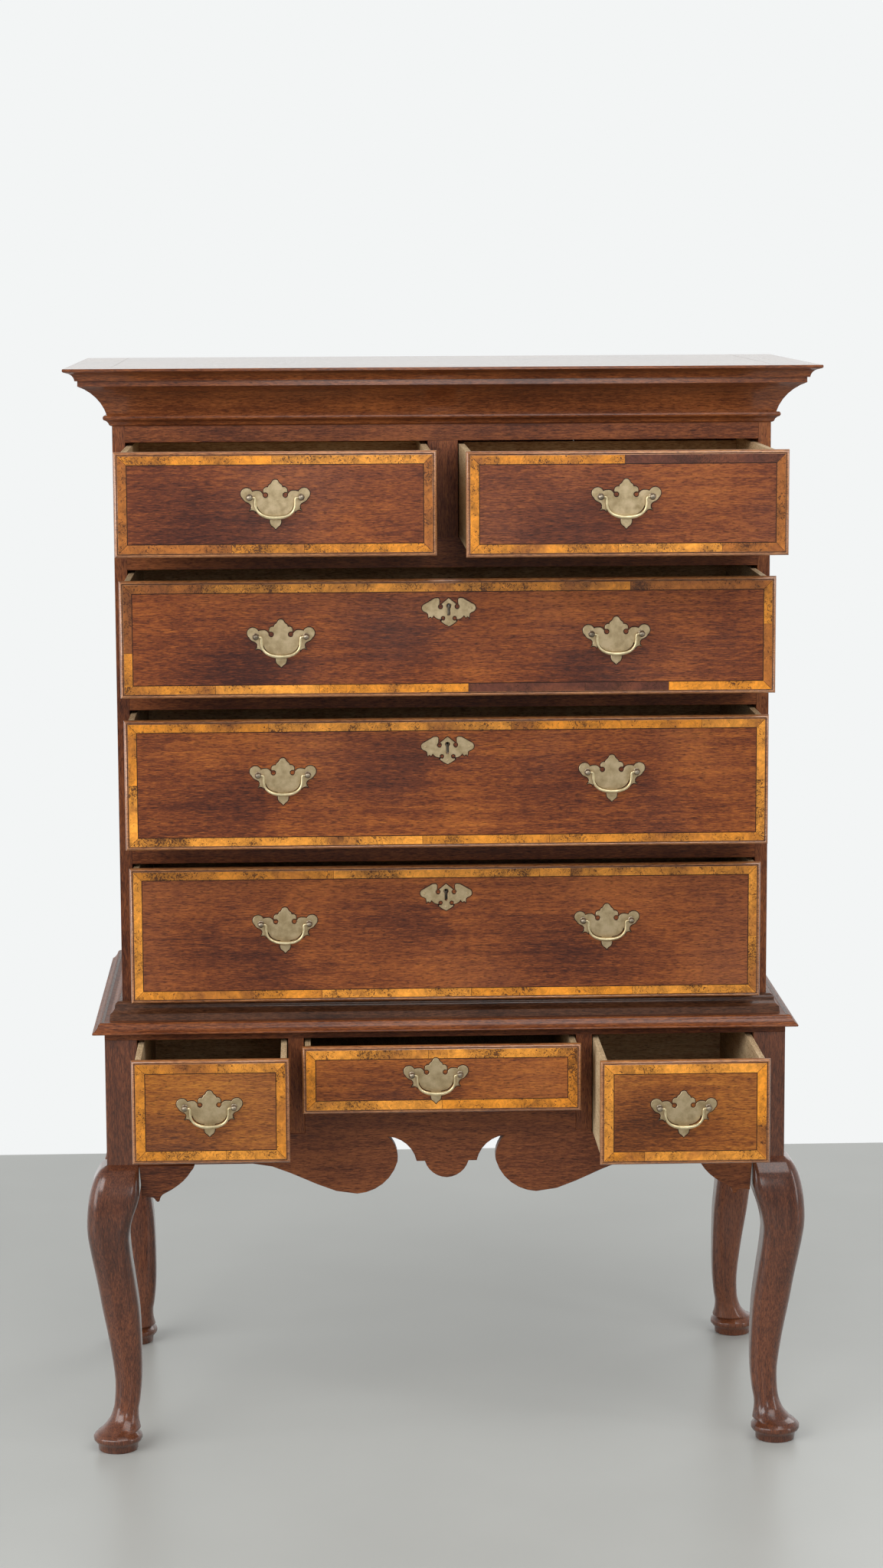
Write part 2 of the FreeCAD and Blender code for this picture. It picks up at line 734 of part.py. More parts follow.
def dovetailed_side(at, low, high, shoulder, back):
    """A drawer side whose front end is cut into tails that enter the front."""
    y0, y1 = value(shoulder), value(back)
    z0 = value(f"{low} + running_gap")
    z1 = value(f"{high} - drawer_side_drop")
    length, root, tip = value("tail_length"), value("tail_root"), value("tail_tip")
    count = max(2, int((z1 - z0) // value("tail_spacing")))
    pitch = (z1 - z0) / count
    path = [(y1, z0), (y1, z1), (y0, z1)]
    for index in range(count - 1, -1, -1):
        middle = z0 + (index + 0.5) * pitch
        path += [(y0, middle + root / 2), (y0 - length, middle + tip / 2),
                 (y0 - length, middle - tip / 2), (y0, middle - root / 2)]
    path.append((y0, z0))
    return padded(lambda d: trace(d, path), "YZ_Plane", at, "drawer_side")


def handle(x, z, face):
    """A pierced plate, two ball-headed posts and the posts' nuts inside the drawer. Returns
    these and the posts' square holes through the front."""
    outline = placed(mirrored(PLATE), value(x), value(z))
    plate_body = padded(lambda d: trace(d, outline), "XZ_Plane", f"-({face})", "plate")
    behind = f"({face} + lip + front_board)"
    reach, neck = value("post_ball"), value("post_neck")
    across = V(1, 0, 0)
    head_rings = [(V(0, y, 0), across, 90, radius) for y, radius
                  in ((reach, neck), (reach / 2.4, reach), (-reach / 2.4, reach), (-reach, neck))]
    pieces, holes = [], []
    for side in (-1, 1):
        place = f"{x} + {side} * post_spacing / 2"
        pivot = f"{face} - pivot_out"

        def square(width, start, end):
            """A square bar through the front at this post."""
            return box((f"{place} - {width} / 2", start, f"{z} - {width} / 2"),
                       (f"{place} + {width} / 2", end, f"{z} + {width} / 2"))

        head = faceted("Head", head_rings, (place, pivot, z))
        shank = square("post_shank", pivot, f"{behind} + nut_height + 1")
        socket = bar("(pin_radius + pin_play) / cos(180 / small_sides)", "post_ball + 1",
                     (place, pivot, z), V(-side, 0, 0))
        pieces.append(cut(fuse(shank, head), socket))
        hole = square("(post_shank + 2 * hole_play)", f"{face} - plate - 1",
                      f"{behind} + nut_height + 2")
        pieces.append(cut(square("nut", behind, f"{behind} + nut_height"), hole))
        holes.append(hole)
    return [cut(plate_body, *holes)] + pieces, holes


def bail(label, x, z, face):
    """A swinging bail: a drawn rod that thickens to its grip, with its ends turned outwards
    into the posts' heads."""
    arm, thin, thick = value("bail_arm_at"), value("bail_arm_radius"), value("bail_grip_radius")
    drop, pin = value("bail_drop"), value("pin_radius")
    pin_end = value("post_spacing / 2 - pin_end_gap")
    # along the rod: across, down, direction in degrees and radius
    half = [(pin_end, 0, 90, pin), (arm + 2.4, 0, 86, pin), (arm + 0.5, 1.2, 40, thin),
            (arm, 3.4, 0, thin), (arm, 10, 3, thin), (arm - 2.4, drop - 8.8, 30, thin + 0.1),
            (arm - 8.6, drop - 3.2, 58, thin + 0.4), (arm - 17.4, drop - 0.5, 82, thick - 0.5)]
    stations = half + [(0, drop, 90, thick)]
    stations += [(-across, down, 180 - turn, radius) for across, down, turn, radius
                 in reversed(half)]
    rings = [(V(across, 0, -down), V(0, 1, 0), turn, radius)
             for across, down, turn, radius in stations]
    return node(label, faceted("Bail", rings, (x, f"{face} - pivot_out", z)))


def lock(low, high, face):
    """A lock let into the back of a front, with its fixed pin, its bolt and the keyhole plate.
    Returns the fixed pieces, the bolt and the cuts that they need in the front."""
    top = f"({high} - head_gap)"
    keyhole = f"({high} + lip_top - keyhole_down)"
    back = f"({face} + lip + front_board)"
    middle = f"({face} + lock_middle)"
    shell = box(("-lock_width / 2", f"{back} - lock_board", f"{top} - lock_height"),
                ("lock_width / 2", back, top))
    channel = box(("-bolt_width / 2 - bolt_play", f"{middle} - bolt_board / 2 - bolt_play",
                   f"{top} - bolt_length - bolt_play"),
                  ("bolt_width / 2 + bolt_play", f"{middle} + bolt_board / 2 + bolt_play",
                   f"{top} + 1"))
    keyhole_z = value(keyhole)
    hole_path = placed(mirrored(KEYHOLE), 0, keyhole_z)
    through = padded(lambda d: trace(d, hole_path), "XZ_Plane", f"1 + plate - ({face})",
                     "plate + 1 + lip + front_board - lock_wall", True)
    pin = bar("lock_pin", "lock_board - lock_wall + 4",
              ("0", f"{back} - lock_wall", keyhole), V(0, -1, 0))
    plate_path = placed(mirrored(ESCUTCHEON), 0, keyhole_z)
    plate_body = padded(lambda d: trace(d, plate_path), "XZ_Plane", f"-({face})", "plate")
    bolt = box(("-bolt_width / 2", f"{middle} - bolt_board / 2", f"{top} - bolt_length"),
               ("bolt_width / 2", f"{middle} + bolt_board / 2", top))
    return [cut(shell, channel, through), pin, cut(plate_body, through)], bolt, [shell, through]


def drawer(name, height, left, right, front, opened, length, handles, shift, locked=False):
    """One drawer: front, box and fittings, with its swinging bails and, where it locks, the
    lock's bolt."""
    low, high = DRAWER_HEIGHTS[height]
    face = f"({front} - {opened})"
    shoulder = f"({face} + lip + front_board)"
    back = f"({face} + lip + {length})"
    inner_left = f"({left} + drawer_gap + drawer_side)"
    inner_right = f"({right} - drawer_gap - drawer_side)"
    board_low = f"({low} + running_gap + drawer_bottom_lift)"
    sides = [dovetailed_side(f"{left} + drawer_gap", low, high, shoulder, back),
             dovetailed_side(f"{right} - drawer_gap - drawer_side", low, high, shoulder, back)]
    bottom = box((inner_left, shoulder, board_low),
                 (inner_right, back, f"{board_low} + drawer_bottom"))
    rear = box((inner_left, f"{back} - drawer_back", f"{board_low} + drawer_bottom"),
               (inner_right, back, f"{high} - drawer_side_drop - drawer_back_drop"))
    node(f"drawer_{name}_box", *sides, rear, bottom)
    fittings, cuts = [], list(sides)
    middle = f"(({low} - lip_bottom + {high} + lip_top) / 2 + {shift})"
    for suffix, aside in handles:
        x = f"(({left} + {right}) / 2 + {aside})"
        pieces, holes = handle(x, middle, face)
        fittings += pieces
        cuts += holes
        bail(f"bail_{name}{suffix}", x, middle, face)
    if locked:
        pieces, bolt, recesses = lock(low, high, face)
        fittings += pieces
        cuts += recesses
        node(f"lock_bolt_{name}", bolt)
    node(f"drawer_{name}_front", cut(front_board(left, right, low, high, face), *cuts))
    node(f"drawer_{name}_fittings", *fittings)


def drawers():
    """Two drawers over three long ones in the case, and three in the stand."""
    pair = (("_left", "-handle_at"), ("_right", "handle_at"))
    case = ("case_front", "case_box_length")
    stand = ("stand_front", "stand_box_length")
    half_muntin = "case_muntin / 2"
    drawer("top_left", "top", "-opening_half", f"-{half_muntin}", case[0], "open_top_left",
           case[1], (("", "0"),), "top_handle_shift")
    drawer("top_right", "top", half_muntin, "opening_half", case[0], "open_top_right",
           case[1], (("", "top_right_handle_aside"),), "top_handle_shift")
    for name in ("second", "third", "fourth"):
        drawer(name, name, "-opening_half", "opening_half", case[0], f"open_{name}", case[1],
               pair, f"{name}_handle_shift", locked=True)
    places = (("left", "deep", "-post_inner", "muntin_left_at - muntin / 2"),
              ("middle", "shallow", "muntin_left_at + muntin / 2", "muntin_right_at - muntin / 2"),
              ("right", "deep", "muntin_right_at + muntin / 2", "post_inner"))
    for name, height, left, right in places:
        drawer(f"stand_{name}", height, left, right, stand[0], f"open_stand_{name}", stand[1],
               (("", f"stand_{name}_handle_aside"),), "stand_handle_shift")


upper_case()
case_runners()
stand_frame()
stand_runners()
apron()
knee_brackets()
for leg_end, leg_face, end_sign in (("front", "stand_front", -1), ("rear", "case_back", 1)):
    for leg_side, side_sign in (("left", -1), ("right", 1)):
        leg(f"leg_{leg_end}_{leg_side}", side_sign, leg_face, end_sign)
drawers()
document.recompute()

# Every object must have been made, and every sub-part must be sound, before anything is written.
for item in document.Objects:
    if "Invalid" in item.State or "Error" in item.State:
        raise RuntimeError(f"{item.Label} was not made: {item.State}")
for part in NODES:
    if part.Shape.isNull() or not part.Shape.isValid():
        raise RuntimeError(f"{part.Label} is not a sound shape")
os.makedirs("parts", exist_ok=True)
for part in NODES:
    part.Shape.exportStep(os.path.join("parts", part.Label + ".step"))
print(len(NODES), "sub-parts")
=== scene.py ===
"""Highboy: an upper case of drawers on a stand with cabriole legs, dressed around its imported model.

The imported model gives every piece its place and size. This script gives the pieces their worked
edges, turned and swept forms, veneers, brasses and finishes.
"""

import json
import logging
import math
import random
from dataclasses import dataclass, replace
from enum import Enum
from functools import cache, partial
from typing import Any, Callable, Sequence

import bmesh
import bpy
from mathutils import Matrix, Vector

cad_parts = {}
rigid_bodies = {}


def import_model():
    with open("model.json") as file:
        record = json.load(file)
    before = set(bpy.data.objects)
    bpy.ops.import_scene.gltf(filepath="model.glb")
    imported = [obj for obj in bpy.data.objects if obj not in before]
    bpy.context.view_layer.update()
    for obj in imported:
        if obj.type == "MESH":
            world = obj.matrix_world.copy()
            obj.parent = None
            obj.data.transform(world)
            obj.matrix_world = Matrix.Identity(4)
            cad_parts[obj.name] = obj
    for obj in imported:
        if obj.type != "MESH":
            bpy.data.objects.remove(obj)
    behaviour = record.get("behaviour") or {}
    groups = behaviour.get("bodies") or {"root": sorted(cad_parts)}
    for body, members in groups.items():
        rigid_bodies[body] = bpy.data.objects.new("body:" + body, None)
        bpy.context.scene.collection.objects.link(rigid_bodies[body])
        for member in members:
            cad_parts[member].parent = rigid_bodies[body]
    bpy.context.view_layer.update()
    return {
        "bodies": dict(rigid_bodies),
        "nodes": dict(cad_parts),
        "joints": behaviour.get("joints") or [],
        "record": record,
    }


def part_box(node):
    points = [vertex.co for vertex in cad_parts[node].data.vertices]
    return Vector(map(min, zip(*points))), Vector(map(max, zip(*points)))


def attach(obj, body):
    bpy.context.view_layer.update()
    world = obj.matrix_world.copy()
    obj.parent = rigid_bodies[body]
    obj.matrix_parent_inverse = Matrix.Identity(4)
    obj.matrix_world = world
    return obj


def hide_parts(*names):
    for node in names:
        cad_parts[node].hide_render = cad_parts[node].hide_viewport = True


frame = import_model()

log = logging.getLogger("highboy")

MM = 0.001
# the most that one run of a moulded outline turns, in degrees
FINE_TURN = 9.0
# a face squarely faces an axis where its normal reaches this far along it
SQUARE_ON = 0.99
Point = tuple[float, float]
Outline = Sequence[Sequence[float]]
Cuts = tuple[tuple[float, ...], tuple[float, ...]]


# Small helpers --------------------------------------------------------------------------------
def linear(code: str) -> tuple[float, float, float, float]:
    """Turn an sRGB hex colour to linear light, with an alpha of one."""
    values = [int(code[index:index + 2], 16) / 255 for index in (1, 3, 5)]
    red, green, blue = (v / 12.92 if v <= 0.04045 else ((v + 0.055) / 1.055) ** 2.4 for v in values)
    return red, green, blue, 1.0


def add_node(tree: bpy.types.NodeTree, kind: str, inputs: dict[Any, Any] | None = None,
             **settings: Any) -> bpy.types.Node:
    """Add one node with its settings and links.

    Args:
        tree: The tree that gets the node.
        kind: The node's class name.
        inputs: For a socket's name or number, what feeds it: a socket, a node, which stands for
            its first output, or a constant.
        **settings: Properties of the node.

    Returns:
        The node.
    """
    made = tree.nodes.new(kind)
    for name, setting in settings.items():
        setattr(made, name, setting)
    for name, source in (inputs or {}).items():
        if isinstance(source, bpy.types.Node):
            source = source.outputs[0]
        if isinstance(source, bpy.types.NodeSocket):
            tree.links.new(source, made.inputs[name])
        else:
            made.inputs[name].default_value = source
    return made


def set_stops(ramp: bpy.types.ColorRamp, stops: Sequence[tuple[float, str]],
              interpolation: str = "LINEAR") -> None:
    """Give a new colour ramp its stops.

    Args:
        ramp: The ramp, which has one stop at each end.
        stops: Two or more pairs of a place and a hex colour, in order.
        interpolation: How the ramp runs from stop to stop.
    """
    ramp.interpolation = interpolation
    for element, (place, colour) in zip(ramp.elements, (stops[0], stops[-1])):
        element.position = place
        element.color = linear(colour)
    for place, colour in stops[1:-1]:
        ramp.elements.new(place).color = linear(colour)


def drawn(steps: Outline, largest_turn: float = 14.0) -> list[Point]:
    """Follow an outline's steps as short straight runs.

    Args:
        steps: A pair is the end of a straight line; four numbers are an arc's middle and end.
        largest_turn: The most that one run turns round an arc, in degrees.

    Returns:
        The outline's points, in order.
    """
    points: list[Point] = [tuple(steps[0])]
    for step in steps[1:]:
        start, middle, end = Vector(points[-1]), Vector(step[:2]), Vector(step[-2:])
        chord, bow = middle - start, end - middle
        twice = 2 * chord.cross(bow)
        if len(step) == 4 and abs(twice) > 1e-6:
            a, b, c = start.length_squared, middle.length_squared, end.length_squared
            centre = Vector((
                a * (middle.y - end.y) + b * (end.y - start.y) + c * (start.y - middle.y),
                a * (end.x - middle.x) + b * (start.x - end.x) + c * (middle.x - start.x),
            )) / twice
            arms = [point - centre for point in (start, middle, end)]
            turn = sum((math.atan2(q.y, q.x) - math.atan2(p.y, p.x)) % math.tau
                       - (math.tau if twice < 0 else 0) for p, q in zip(arms, arms[1:]))
            count = max(2, math.ceil(abs(math.degrees(turn)) / largest_turn))
            for index in range(1, count):
                spoke = arms[0].copy()
                spoke.rotate(Matrix.Rotation(turn * index / count, 2))
                points.append(tuple(centre + spoke))
        points.append(tuple(end))
    return points


def mirrored(half: Outline) -> Outline:
    """Complete an outline from its right half, which starts and ends in the middle."""
    back = [(*((-step[0], step[1]) if len(step) == 4 else ()), -end[-2], end[-1])
            for step, end in zip(half[:0:-1], half[-2::-1])]
    return [*half, *back]


def rectangle(left: float, low: float, right: float, high: float) -> list[Point]:
    """The four corners of a rectangle, from its lower left one on."""
    return [(left, low), (right, low), (right, high), (left, high)]


def shrunk(outline: Sequence[Point], by: float) -> list[Point]:
    """Move a closed outline inwards all round, corner by corner.

    Args:
        outline: Its points. One that runs clockwise moves outwards instead.
        by: How far its sides move.

    Returns:
        The moved points.
    """
    result = []
    for index, point in enumerate(outline):
        here = Vector(point)
        before = (here - Vector(outline[index - 1])).normalized()
        after = (Vector(outline[(index + 1) % len(outline)]) - here).normalized()
        inward = Vector((-before.y - after.y, before.x + after.x))
        result.append(tuple(here + inward * (by / max(1 + before.dot(after), 0.2))))
    return result


def box_mm(node: str) -> tuple[Vector, Vector]:
    """A CAD node's lowest and highest corners, in millimetres."""
    low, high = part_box(node)
    return low / MM, high / MM


def linked(name: str, data: bpy.types.ID) -> bpy.types.Object:
    """Put data into the scene as a new object."""
    made = bpy.data.objects.new(name, data)
    bpy.context.scene.collection.objects.link(made)
    return made


def evaluated(made: bpy.types.Object) -> bpy.types.Mesh:
    """The plain mesh of an object with its modifiers applied."""
    graph = bpy.context.evaluated_depsgraph_get()
    return bpy.data.meshes.new_from_object(made.evaluated_get(graph))


# Finishes -------------------------------------------------------------------------------------
@dataclass(frozen=True)
class Finish:
    """What a surface is made of. Each kind of finish adds its own nodes."""

    name: str

    @cache
    def material(self) -> bpy.types.Material:
        """Build the finish's one material, on Object coordinates.

        Returns:
            The material, which is the same at every call.
        """
        material = bpy.data.materials.new(self.name)
        material.use_nodes = True
        material.node_tree.nodes.clear()
        add = partial(add_node, material.node_tree)
        place = add("ShaderNodeTexCoord").outputs["Object"]
        shader = add("ShaderNodeBsdfPrincipled", self.surface(add, place))
        add("ShaderNodeOutputMaterial", {"Surface": shader})
        return material

    def surface(self, add: Callable[..., bpy.types.Node],
                place: bpy.types.NodeSocket) -> dict[str, Any]:
        """Add the nodes of the surface.

        Args:
            add: Adds a node to the material.
            place: The place on the piece.

        Returns:
            What feeds each input of the shader.
        """
        raise NotImplementedError


class Grain(Enum):
    """Which way the grain runs, as the turn that brings it along a pattern's first axis."""

    ACROSS = (0.0, 0.0, 0.0)
    UPRIGHT = (0.0, math.pi / 2, 0.0)
    DEEP = (0.0, 0.0, -math.pi / 2)


@dataclass(frozen=True)
class Wood(Finish):
    """Sawn and waxed oak. It has open pores in short dark dashes, streaks along the grain, a
    broad figure and, with age, darker clouds. Wax gives it a soft second gloss."""

    dark: str
    middle: str
    light: str
    grain: Grain = Grain.ACROSS
    figure_mm: Point = (150.0, 9.0)
    streak_mm: Point = (13.0, 1.5)
    pore_mm: Point = (7.0, 1.0)
    cloud_mm: float = 140.0
    cloud: float = 0.38
    contrast: float = 0.45
    streaks: float = 1.6
    board_tint: float = 0.22
    wander: float = 0.014
    pores: float = 0.55
    pore_colour: str = "#1E0E07"
    lift: float = 0.0
    roughness: float = 0.42
    gloss: float = 0.22
    wax: float = 0.08
    polish: float = 0.22
    relief_mm: float = 0.10
    # painted sheen: a greyish haze mixed into the colour where the bend noise runs high, for the
    # sheen that the waxed face takes from the room
    painted_sheen: float = 0.0
    painted_sheen_colour: str = "#7E6258"
    ends: float = 0.0
    seed: float = 0.0
    smudges: tuple[Point, ...] = ()

    def surface(self, add: Callable[..., bpy.types.Node],
                place: bpy.types.NodeSocket) -> dict[str, Any]:
        """Add the nodes of the wood. The attribute "board" shifts and tints each board.

        Args:
            add: Adds a node to the material.
            place: The place on the piece.

        Returns:
            What feeds each input of the shader.
        """
        turn = add("ShaderNodeMapping", {
            "Vector": place, "Rotation": self.grain.value,
            "Location": [self.seed * step for step in (1.37, 0.71, 0.43)]})
        board = add("ShaderNodeAttribute", attribute_name="board").outputs["Fac"]
        shift = add("ShaderNodeVectorMath", {0: board, 1: (3.7, 5.3, 9.1), 2: turn},
                    operation="MULTIPLY_ADD")
        bend = add("ShaderNodeTexNoise", {"Vector": shift, "Scale": 3.6, "Detail": 2.0})
        bent = add("ShaderNodeVectorMath", {
            0: bend.outputs["Color"], 1: (0.0, self.wander, self.wander), 2: shift},
            operation="MULTIPLY_ADD")
        layers = []
        for size, detail, rough in ((self.figure_mm, 4.0, 0.62), (self.streak_mm, 3.0, 0.75),
                                    (self.pore_mm, 1.0, 0.4)):
            along, across = (1000 / length for length in size)
            stretched = add("ShaderNodeMapping", {
                "Vector": bent, "Scale": (along, across, across)})
            layers.append(add("ShaderNodeTexNoise", {
                "Vector": stretched, "Scale": 1.0, "Detail": detail, "Roughness": rough}))
        figure, streak, pore = layers
        cloud = add("ShaderNodeTexNoise", {
            "Vector": shift, "Scale": 1000 / self.cloud_mm, "Detail": 4.0, "Roughness": 0.55})
        # the share of light wood swings about its middle with the figure, the streaks and the
        # clouds, and each board has its own tint
        swings = ((figure, 1.5 * self.contrast), (streak, self.streaks), (cloud, 1.9 * self.cloud))
        tone: Any = 0.5 + self.lift - sum(swing for _, swing in swings) / 2
        for layer, swing in (*swings, (board, self.board_tint)):
            tone = add("ShaderNodeMath", {0: layer, 1: swing, 2: tone}, operation="MULTIPLY_ADD")
        # a long front is darker towards its ends than in its middle
        side = add("ShaderNodeSeparateXYZ", {0: place}).outputs["X"]
        off = add("ShaderNodeMath", {0: side}, operation="ABSOLUTE")
        end = add("ShaderNodeMapRange", {
            "Value": off, "From Min": 0.15, "From Max": 0.44, "To Min": 0.0, "To Max": -self.ends})
        tone = add("ShaderNodeMath", {0: tone, 1: end})
        # hands have left dirt round the brasses, in ragged patches wider than they are high
        wide, high, ragged = 8.5, 15.0, 1.1
        for across, up in self.smudges:
            apart = add("ShaderNodeVectorMath", {
                0: place, 1: (wide, 0, high), 2: (-across * MM * wide, 0, -up * MM * high)},
                operation="MULTIPLY_ADD")
            torn = add("ShaderNodeVectorMath", {
                0: cloud.outputs["Color"], 1: (ragged, 0, ragged), 2: apart},
                operation="MULTIPLY_ADD")
            far = add("ShaderNodeVectorMath", {0: torn}, operation="LENGTH").outputs["Value"]
            dirt = add("ShaderNodeMapRange", {
                "Value": far, "From Min": 0.1, "From Max": 1.3, "To Min": -0.3, "To Max": 0.0},
                interpolation_type="SMOOTHSTEP")
            tone = add("ShaderNodeMath", {0: tone, 1: dirt})
        ramp = add("ShaderNodeValToRGB", {"Fac": tone})
        set_stops(ramp.color_ramp, ((0.12, self.dark), (0.52, self.middle), (0.92, self.light)),
                  "B_SPLINE")
        hole = add("ShaderNodeMapRange", {
            "Value": pore, "From Min": 0.56, "From Max": 0.68, "To Min": 0.0, "To Max": self.pores})
        # a greyish haze in the colour paints the waxed face's sheen
        painted_sheen_share = add("ShaderNodeMapRange", {
            "Value": bend, "From Min": 0.46, "From Max": 0.72, "To Min": 0.0, "To Max": self.painted_sheen})
        # a Mix node's sockets share their names: its colours go in at 6 and 7 and come out at 2
        colour = ramp.outputs["Color"]
        for share, over in ((painted_sheen_share, self.painted_sheen_colour), (hole, self.pore_colour)):
            colour = add("ShaderNodeMix", {0: share, 6: colour, 7: linear(over)},
                         data_type="RGBA").outputs[2]
        dull = add("ShaderNodeMath", {0: streak, 1: 0.22, 2: self.roughness - 0.11},
                   operation="MULTIPLY_ADD")
        matt = add("ShaderNodeMath", {0: hole, 1: 0.3, 2: dull}, operation="MULTIPLY_ADD")
        height = add("ShaderNodeMath", {0: hole, 1: -1.0, 2: streak}, operation="MULTIPLY_ADD")
        bump = add("ShaderNodeBump", {
            "Strength": 0.6, "Distance": self.relief_mm * MM, "Height": height})
        return {"Base Color": colour, "Roughness": matt, "Normal": bump,
                "Specular IOR Level": self.gloss, "Coat Weight": self.wax,
                "Coat Roughness": self.polish}


@dataclass(frozen=True)
class BurrVeneer(Finish):
    """Sawn burr cross-banding. It is mottled gold and brown, with dark eyes and curls, and each
    length was cut from another leaf, so the attribute "board" gives each its own tone."""

    tones: tuple[str, ...] = ("#532B1D", "#9A5B22", "#BE7823", "#CA842E", "#C67C20", "#8A4C20")
    curl_mm: float = 11.0
    eye_mm: float = 5.0
    drift_mm: float = 48.0
    stain_mm: float = 95.0
    stained: str = "#6B3A20"
    eye_colour: str = "#3C1B0C"
    roughness: float = 0.42
    gloss: float = 0.3
    wax: float = 0.1
    polish: float = 0.25
    relief_mm: float = 0.08

    def surface(self, add: Callable[..., bpy.types.Node],
                place: bpy.types.NodeSocket) -> dict[str, Any]:
        """Add the nodes of the veneer.

        Args:
            add: Adds a node to the material.
            place: The place on the piece.

        Returns:
            What feeds each input of the shader.
        """
        board = add("ShaderNodeAttribute", attribute_name="board").outputs["Fac"]
        shift = add("ShaderNodeVectorMath", {0: board, 1: (3.1, 7.7, 5.9), 2: place},
                    operation="MULTIPLY_ADD")
        curl, drift, eye, stain = (
            add("ShaderNodeTexNoise", {"Vector": shift, "Scale": 1000 / size, "Detail": detail,
                                       "Roughness": rough, "Distortion": twist})
            for size, detail, rough, twist in (
                (self.curl_mm, 5.0, 0.65, 1.4), (self.drift_mm, 3.0, 0.5, 0.0),
                (self.eye_mm, 2.0, 0.5, 2.0), (self.stain_mm, 4.0, 0.6, 0.6)))
        leaf = add("ShaderNodeValToRGB", {"Fac": board})
        set_stops(leaf.color_ramp,
                  [(index / len(self.tones), tone) for index, tone in enumerate(self.tones)],
                  "CONSTANT")
        # hands and damp have browned it in places
        brown = add("ShaderNodeMapRange", {
            "Value": stain, "From Min": 0.5, "From Max": 0.68, "To Min": 0.0, "To Max": 0.75})
        aged = add("ShaderNodeMix", {0: brown, 6: leaf, 7: linear(self.stained)},
                   data_type="RGBA").outputs[2]
        level: Any = -0.93
        for layer, swing in ((curl, 2.0), (drift, 1.9)):
            level = add("ShaderNodeMath", {0: layer, 1: swing, 2: level},
                        operation="MULTIPLY_ADD")
        lit = add("ShaderNodeVectorMath", {0: aged, 1: level}, operation="MULTIPLY")
        # the eyes gather in clusters, where the leaf is darker
        crowd = add("ShaderNodeMath", {0: drift, 1: -0.55, 2: eye}, operation="MULTIPLY_ADD")
        spot = add("ShaderNodeMapRange", {
            "Value": crowd, "From Min": 0.305, "From Max": 0.395, "To Min": 0.0, "To Max": 0.85})
        colour = add("ShaderNodeMix", {0: spot, 6: lit, 7: linear(self.eye_colour)},
                     data_type="RGBA").outputs[2]
        bump = add("ShaderNodeBump", {
            "Strength": 0.5, "Distance": self.relief_mm * MM, "Height": curl})
        return {"Base Color": colour, "Roughness": self.roughness, "Normal": bump,
                "Specular IOR Level": self.gloss, "Coat Weight": self.wax,
                "Coat Roughness": self.polish}


@dataclass(frozen=True)
class Metal(Finish):
    """Cast or rolled metal that hands keep half bright. Its clouds of tarnish are duller and
    darker than the metal that shows between them."""

    bright: str
    tarnish: str
    roughness: float = 0.34
    tarnish_dulls: float = 0.16
    cloud_mm: float = 14.0
    scratch_mm: float = 0.7
    relief_mm: float = 0.03

    def surface(self, add: Callable[..., bpy.types.Node],
                place: bpy.types.NodeSocket) -> dict[str, Any]:
        """Add the nodes of the metal.

        Args:
            add: Adds a node to the material.
            place: The place on the piece.

        Returns:
            What feeds each input of the shader.
        """
        cloud, scratch = (
            add("ShaderNodeTexNoise", {"Vector": place, "Scale": 1000 / size, "Detail": detail,
                                       "Roughness": rough})
            for size, detail, rough in ((self.cloud_mm, 5.0, 0.65), (self.scratch_mm, 2.0, 0.5)))
        ramp = add("ShaderNodeValToRGB", {"Fac": cloud})
        set_stops(ramp.color_ramp, ((0.32, self.tarnish), (0.62, self.bright)))
        dull = add("ShaderNodeMapRange", {
            "Value": cloud, "From Min": 0.3, "From Max": 0.65,
            "To Min": self.roughness + self.tarnish_dulls, "To Max": self.roughness})
        bump = add("ShaderNodeBump", {
            "Strength": 0.25, "Distance": self.relief_mm * MM, "Height": scratch})
        return {"Base Color": ramp, "Roughness": dull, "Normal": bump, "Metallic": 1.0}


@dataclass(frozen=True)
class Screed(Finish):
    """A polished grey screed, a little clouded, that mirrors softly."""

    dark: str = "#AEAFAB"
    light: str = "#B4B5B1"
    roughness: float = 0.34

    def surface(self, add: Callable[..., bpy.types.Node],
                place: bpy.types.NodeSocket) -> dict[str, Any]:
        """Add the nodes of the screed.

        Args:
            add: Adds a node to the material.
            place: The place on the floor.

        Returns:
            What feeds each input of the shader.
        """
        cloud = add("ShaderNodeTexNoise", {"Vector": place, "Scale": 2.2, "Detail": 4.0})
        ramp = add("ShaderNodeValToRGB", {"Fac": cloud})
        set_stops(ramp.color_ramp, ((0.3, self.dark), (0.7, self.light)))
        return {"Base Color": ramp, "Roughness": self.roughness}


CASE_OAK = Wood("waxed_oak_case", "#32150C", "#6C381E", "#9A5A2E", seed=1, roughness=0.38)
# the top's oak is paler and greyer than the case's: its own tone, lightened as painted reflection of
# the pale wall
TOP_OAK = Wood("waxed_oak_top", "#4A2C20", "#80543A", "#A87A50", seed=12, roughness=0.24,
               gloss=0.5, wax=0.85, polish=0.16)
SIDE_OAK = Wood("waxed_oak_upright", "#2E150D", "#64341F", "#90562E", Grain.UPRIGHT, seed=2)
SIDE_DEEP = Wood("waxed_oak_deep", "#2E150D", "#62331F", "#8C532E", Grain.DEEP, seed=3)
STAND_OAK = Wood("waxed_oak_stand", "#30160E", "#66351F", "#92562E", seed=4)
# the legs' own oak, greyed a little as painted sheen
LEG_OAK = Wood("waxed_oak_leg", "#261009", "#572C1A", "#80492B", Grain.UPRIGHT, seed=5,
               roughness=0.34, wax=0.8, gloss=0.25, polish=0.15)
MOULDED_OAK = replace(CASE_OAK, name="waxed_oak_moulding", wax=0.45, polish=0.13)
# the base moulding's oak is darker than the case's, as painted shade
BASE_OAK = replace(MOULDED_OAK, name="waxed_oak_base", dark="#22110B", middle="#52311F",
                   light="#7C4F34")
